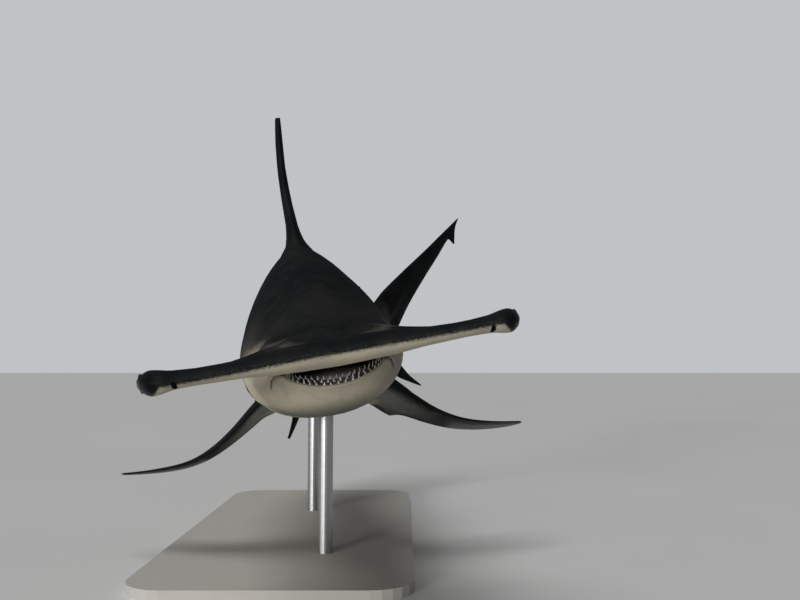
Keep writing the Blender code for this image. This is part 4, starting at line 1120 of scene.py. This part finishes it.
def rodPaint():
    paint = Paint("standSteel")
    where = paint.spot()
    brushed = paint.noise(paint.stretch(where, (40.0, 40.0, 900.0)), 1.0, 3.0)
    colour = paint.mix(brushed, (0.36, 0.37, 0.38), (0.52, 0.52, 0.52))
    satin, scratches = 0.34 + brushed * 0.16, paint.bump(brushed, 0.0003, 0.3)
    return paint.finish(Base_Color=colour, Roughness=satin, Metallic=1.0, Normal=scratches)


def floorPaint():
    paint = Paint("floorPaint")
    where = paint.spot()
    clouds = paint.noise(where, 0.7, 4.0)
    colour = paint.mix(clouds, (0.6, 0.6, 0.59), (0.66, 0.66, 0.65))
    return paint.finish(Base_Color=colour, Roughness=0.7)


def dress(obj, material):
    obj.data.materials.clear()
    obj.data.materials.append(material)
    return obj


fleshNodes = [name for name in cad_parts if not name.startswith(("stand_", "eye_"))]

skin = makeSkin()
markSkin(skin)
bendObject(skin)
dress(skin, skinPaint())
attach(skin, "root")
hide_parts(*fleshNodes)
print("skin done")

teethPiece = dress(makeTeeth(), teethPaint())
tonguePiece = dress(makeTongue(), tonguePaint())
for piece in (teethPiece, tonguePiece):
    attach(piece, "root")
    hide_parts("lower_jaw")
print("mouth done")

eyeLook = eyePaint()
for side, node in ((1, "eye_left"), (-1, "eye_right")):
    piece = dress(makeEye(side), eyeLook)
    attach(piece, "root")
    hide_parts(node)
print("eyes done")

rodLook, baseLook = rodPaint(), basePaint()
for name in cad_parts:
    if name.startswith("stand_"):
        node = bpy.data.objects[name]
        look = baseLook if name == "stand_base" else rodLook
        for slot in node.material_slots:
            slot.material = look
print("stand done")

floorSheet = bmesh.new()
bmesh.ops.create_grid(floorSheet, x_segments=1, y_segments=1, size=60)
floor = dress(meshObject("floor", floorSheet), floorPaint())


# A wide soft light from overhead, and a low one from the left of the camera for the jaw.
studio = {
    "overheadLight": {"from": (-1.2, -1.8, 5.0), "power": 1.6, "width": 35},
    "frontLight": {"from": (-1.9, -3.2, 0.22), "power": 2.5, "width": 18},
    "ambient": 0.15, "backdrop": 0.66, "tint": (0.8, 0.83, 0.85, 1),
}


def addSun(name):
    light = bpy.data.lights.new(name, "SUN")
    light.energy, light.angle = studio[name]["power"], math.radians(studio[name]["width"])
    obj = bpy.data.objects.new(name, light)
    obj.location = studio[name]["from"]
    obj.rotation_euler = (-obj.location).to_track_quat("-Z", "Y").to_euler()
    bpy.context.scene.collection.objects.link(obj)


addSun("overheadLight")
addSun("frontLight")

world = bpy.data.worlds.new("studio")
world.use_nodes = True
tree = world.node_tree
ambient = tree.nodes["Background"]
backdrop = tree.nodes.new("ShaderNodeBackground")
for node, strength in ((ambient, studio["ambient"]), (backdrop, studio["backdrop"])):
    node.inputs["Color"].default_value = studio["tint"]
    node.inputs["Strength"].default_value = strength
choice = tree.nodes.new("ShaderNodeMixShader")
tree.links.new(tree.nodes.new("ShaderNodeLightPath").outputs["Is Camera Ray"], choice.inputs[0])
tree.links.new(ambient.outputs[0], choice.inputs[1])
tree.links.new(backdrop.outputs[0], choice.inputs[2])
tree.links.new(choice.outputs[0], tree.nodes["World Output"].inputs["Surface"])
bpy.context.scene.world = world
bpy.context.scene.view_settings.view_transform = "Standard"

# The photograph's view: level with the head, 53 degrees across.
view = {"spot": (0.3585, -3.012, 0.622), "tilt": 94.645, "lens": 36, "sensor": 36}
camera = bpy.data.cameras.new("camera")
camera.lens, camera.sensor_width = view["lens"], view["sensor"]
cameraObject = bpy.data.objects.new("camera", camera)
cameraObject.location = view["spot"]
cameraObject.rotation_euler = (math.radians(view["tilt"]), 0, 0)
bpy.context.scene.collection.objects.link(cameraObject)
bpy.context.scene.camera = cameraObject
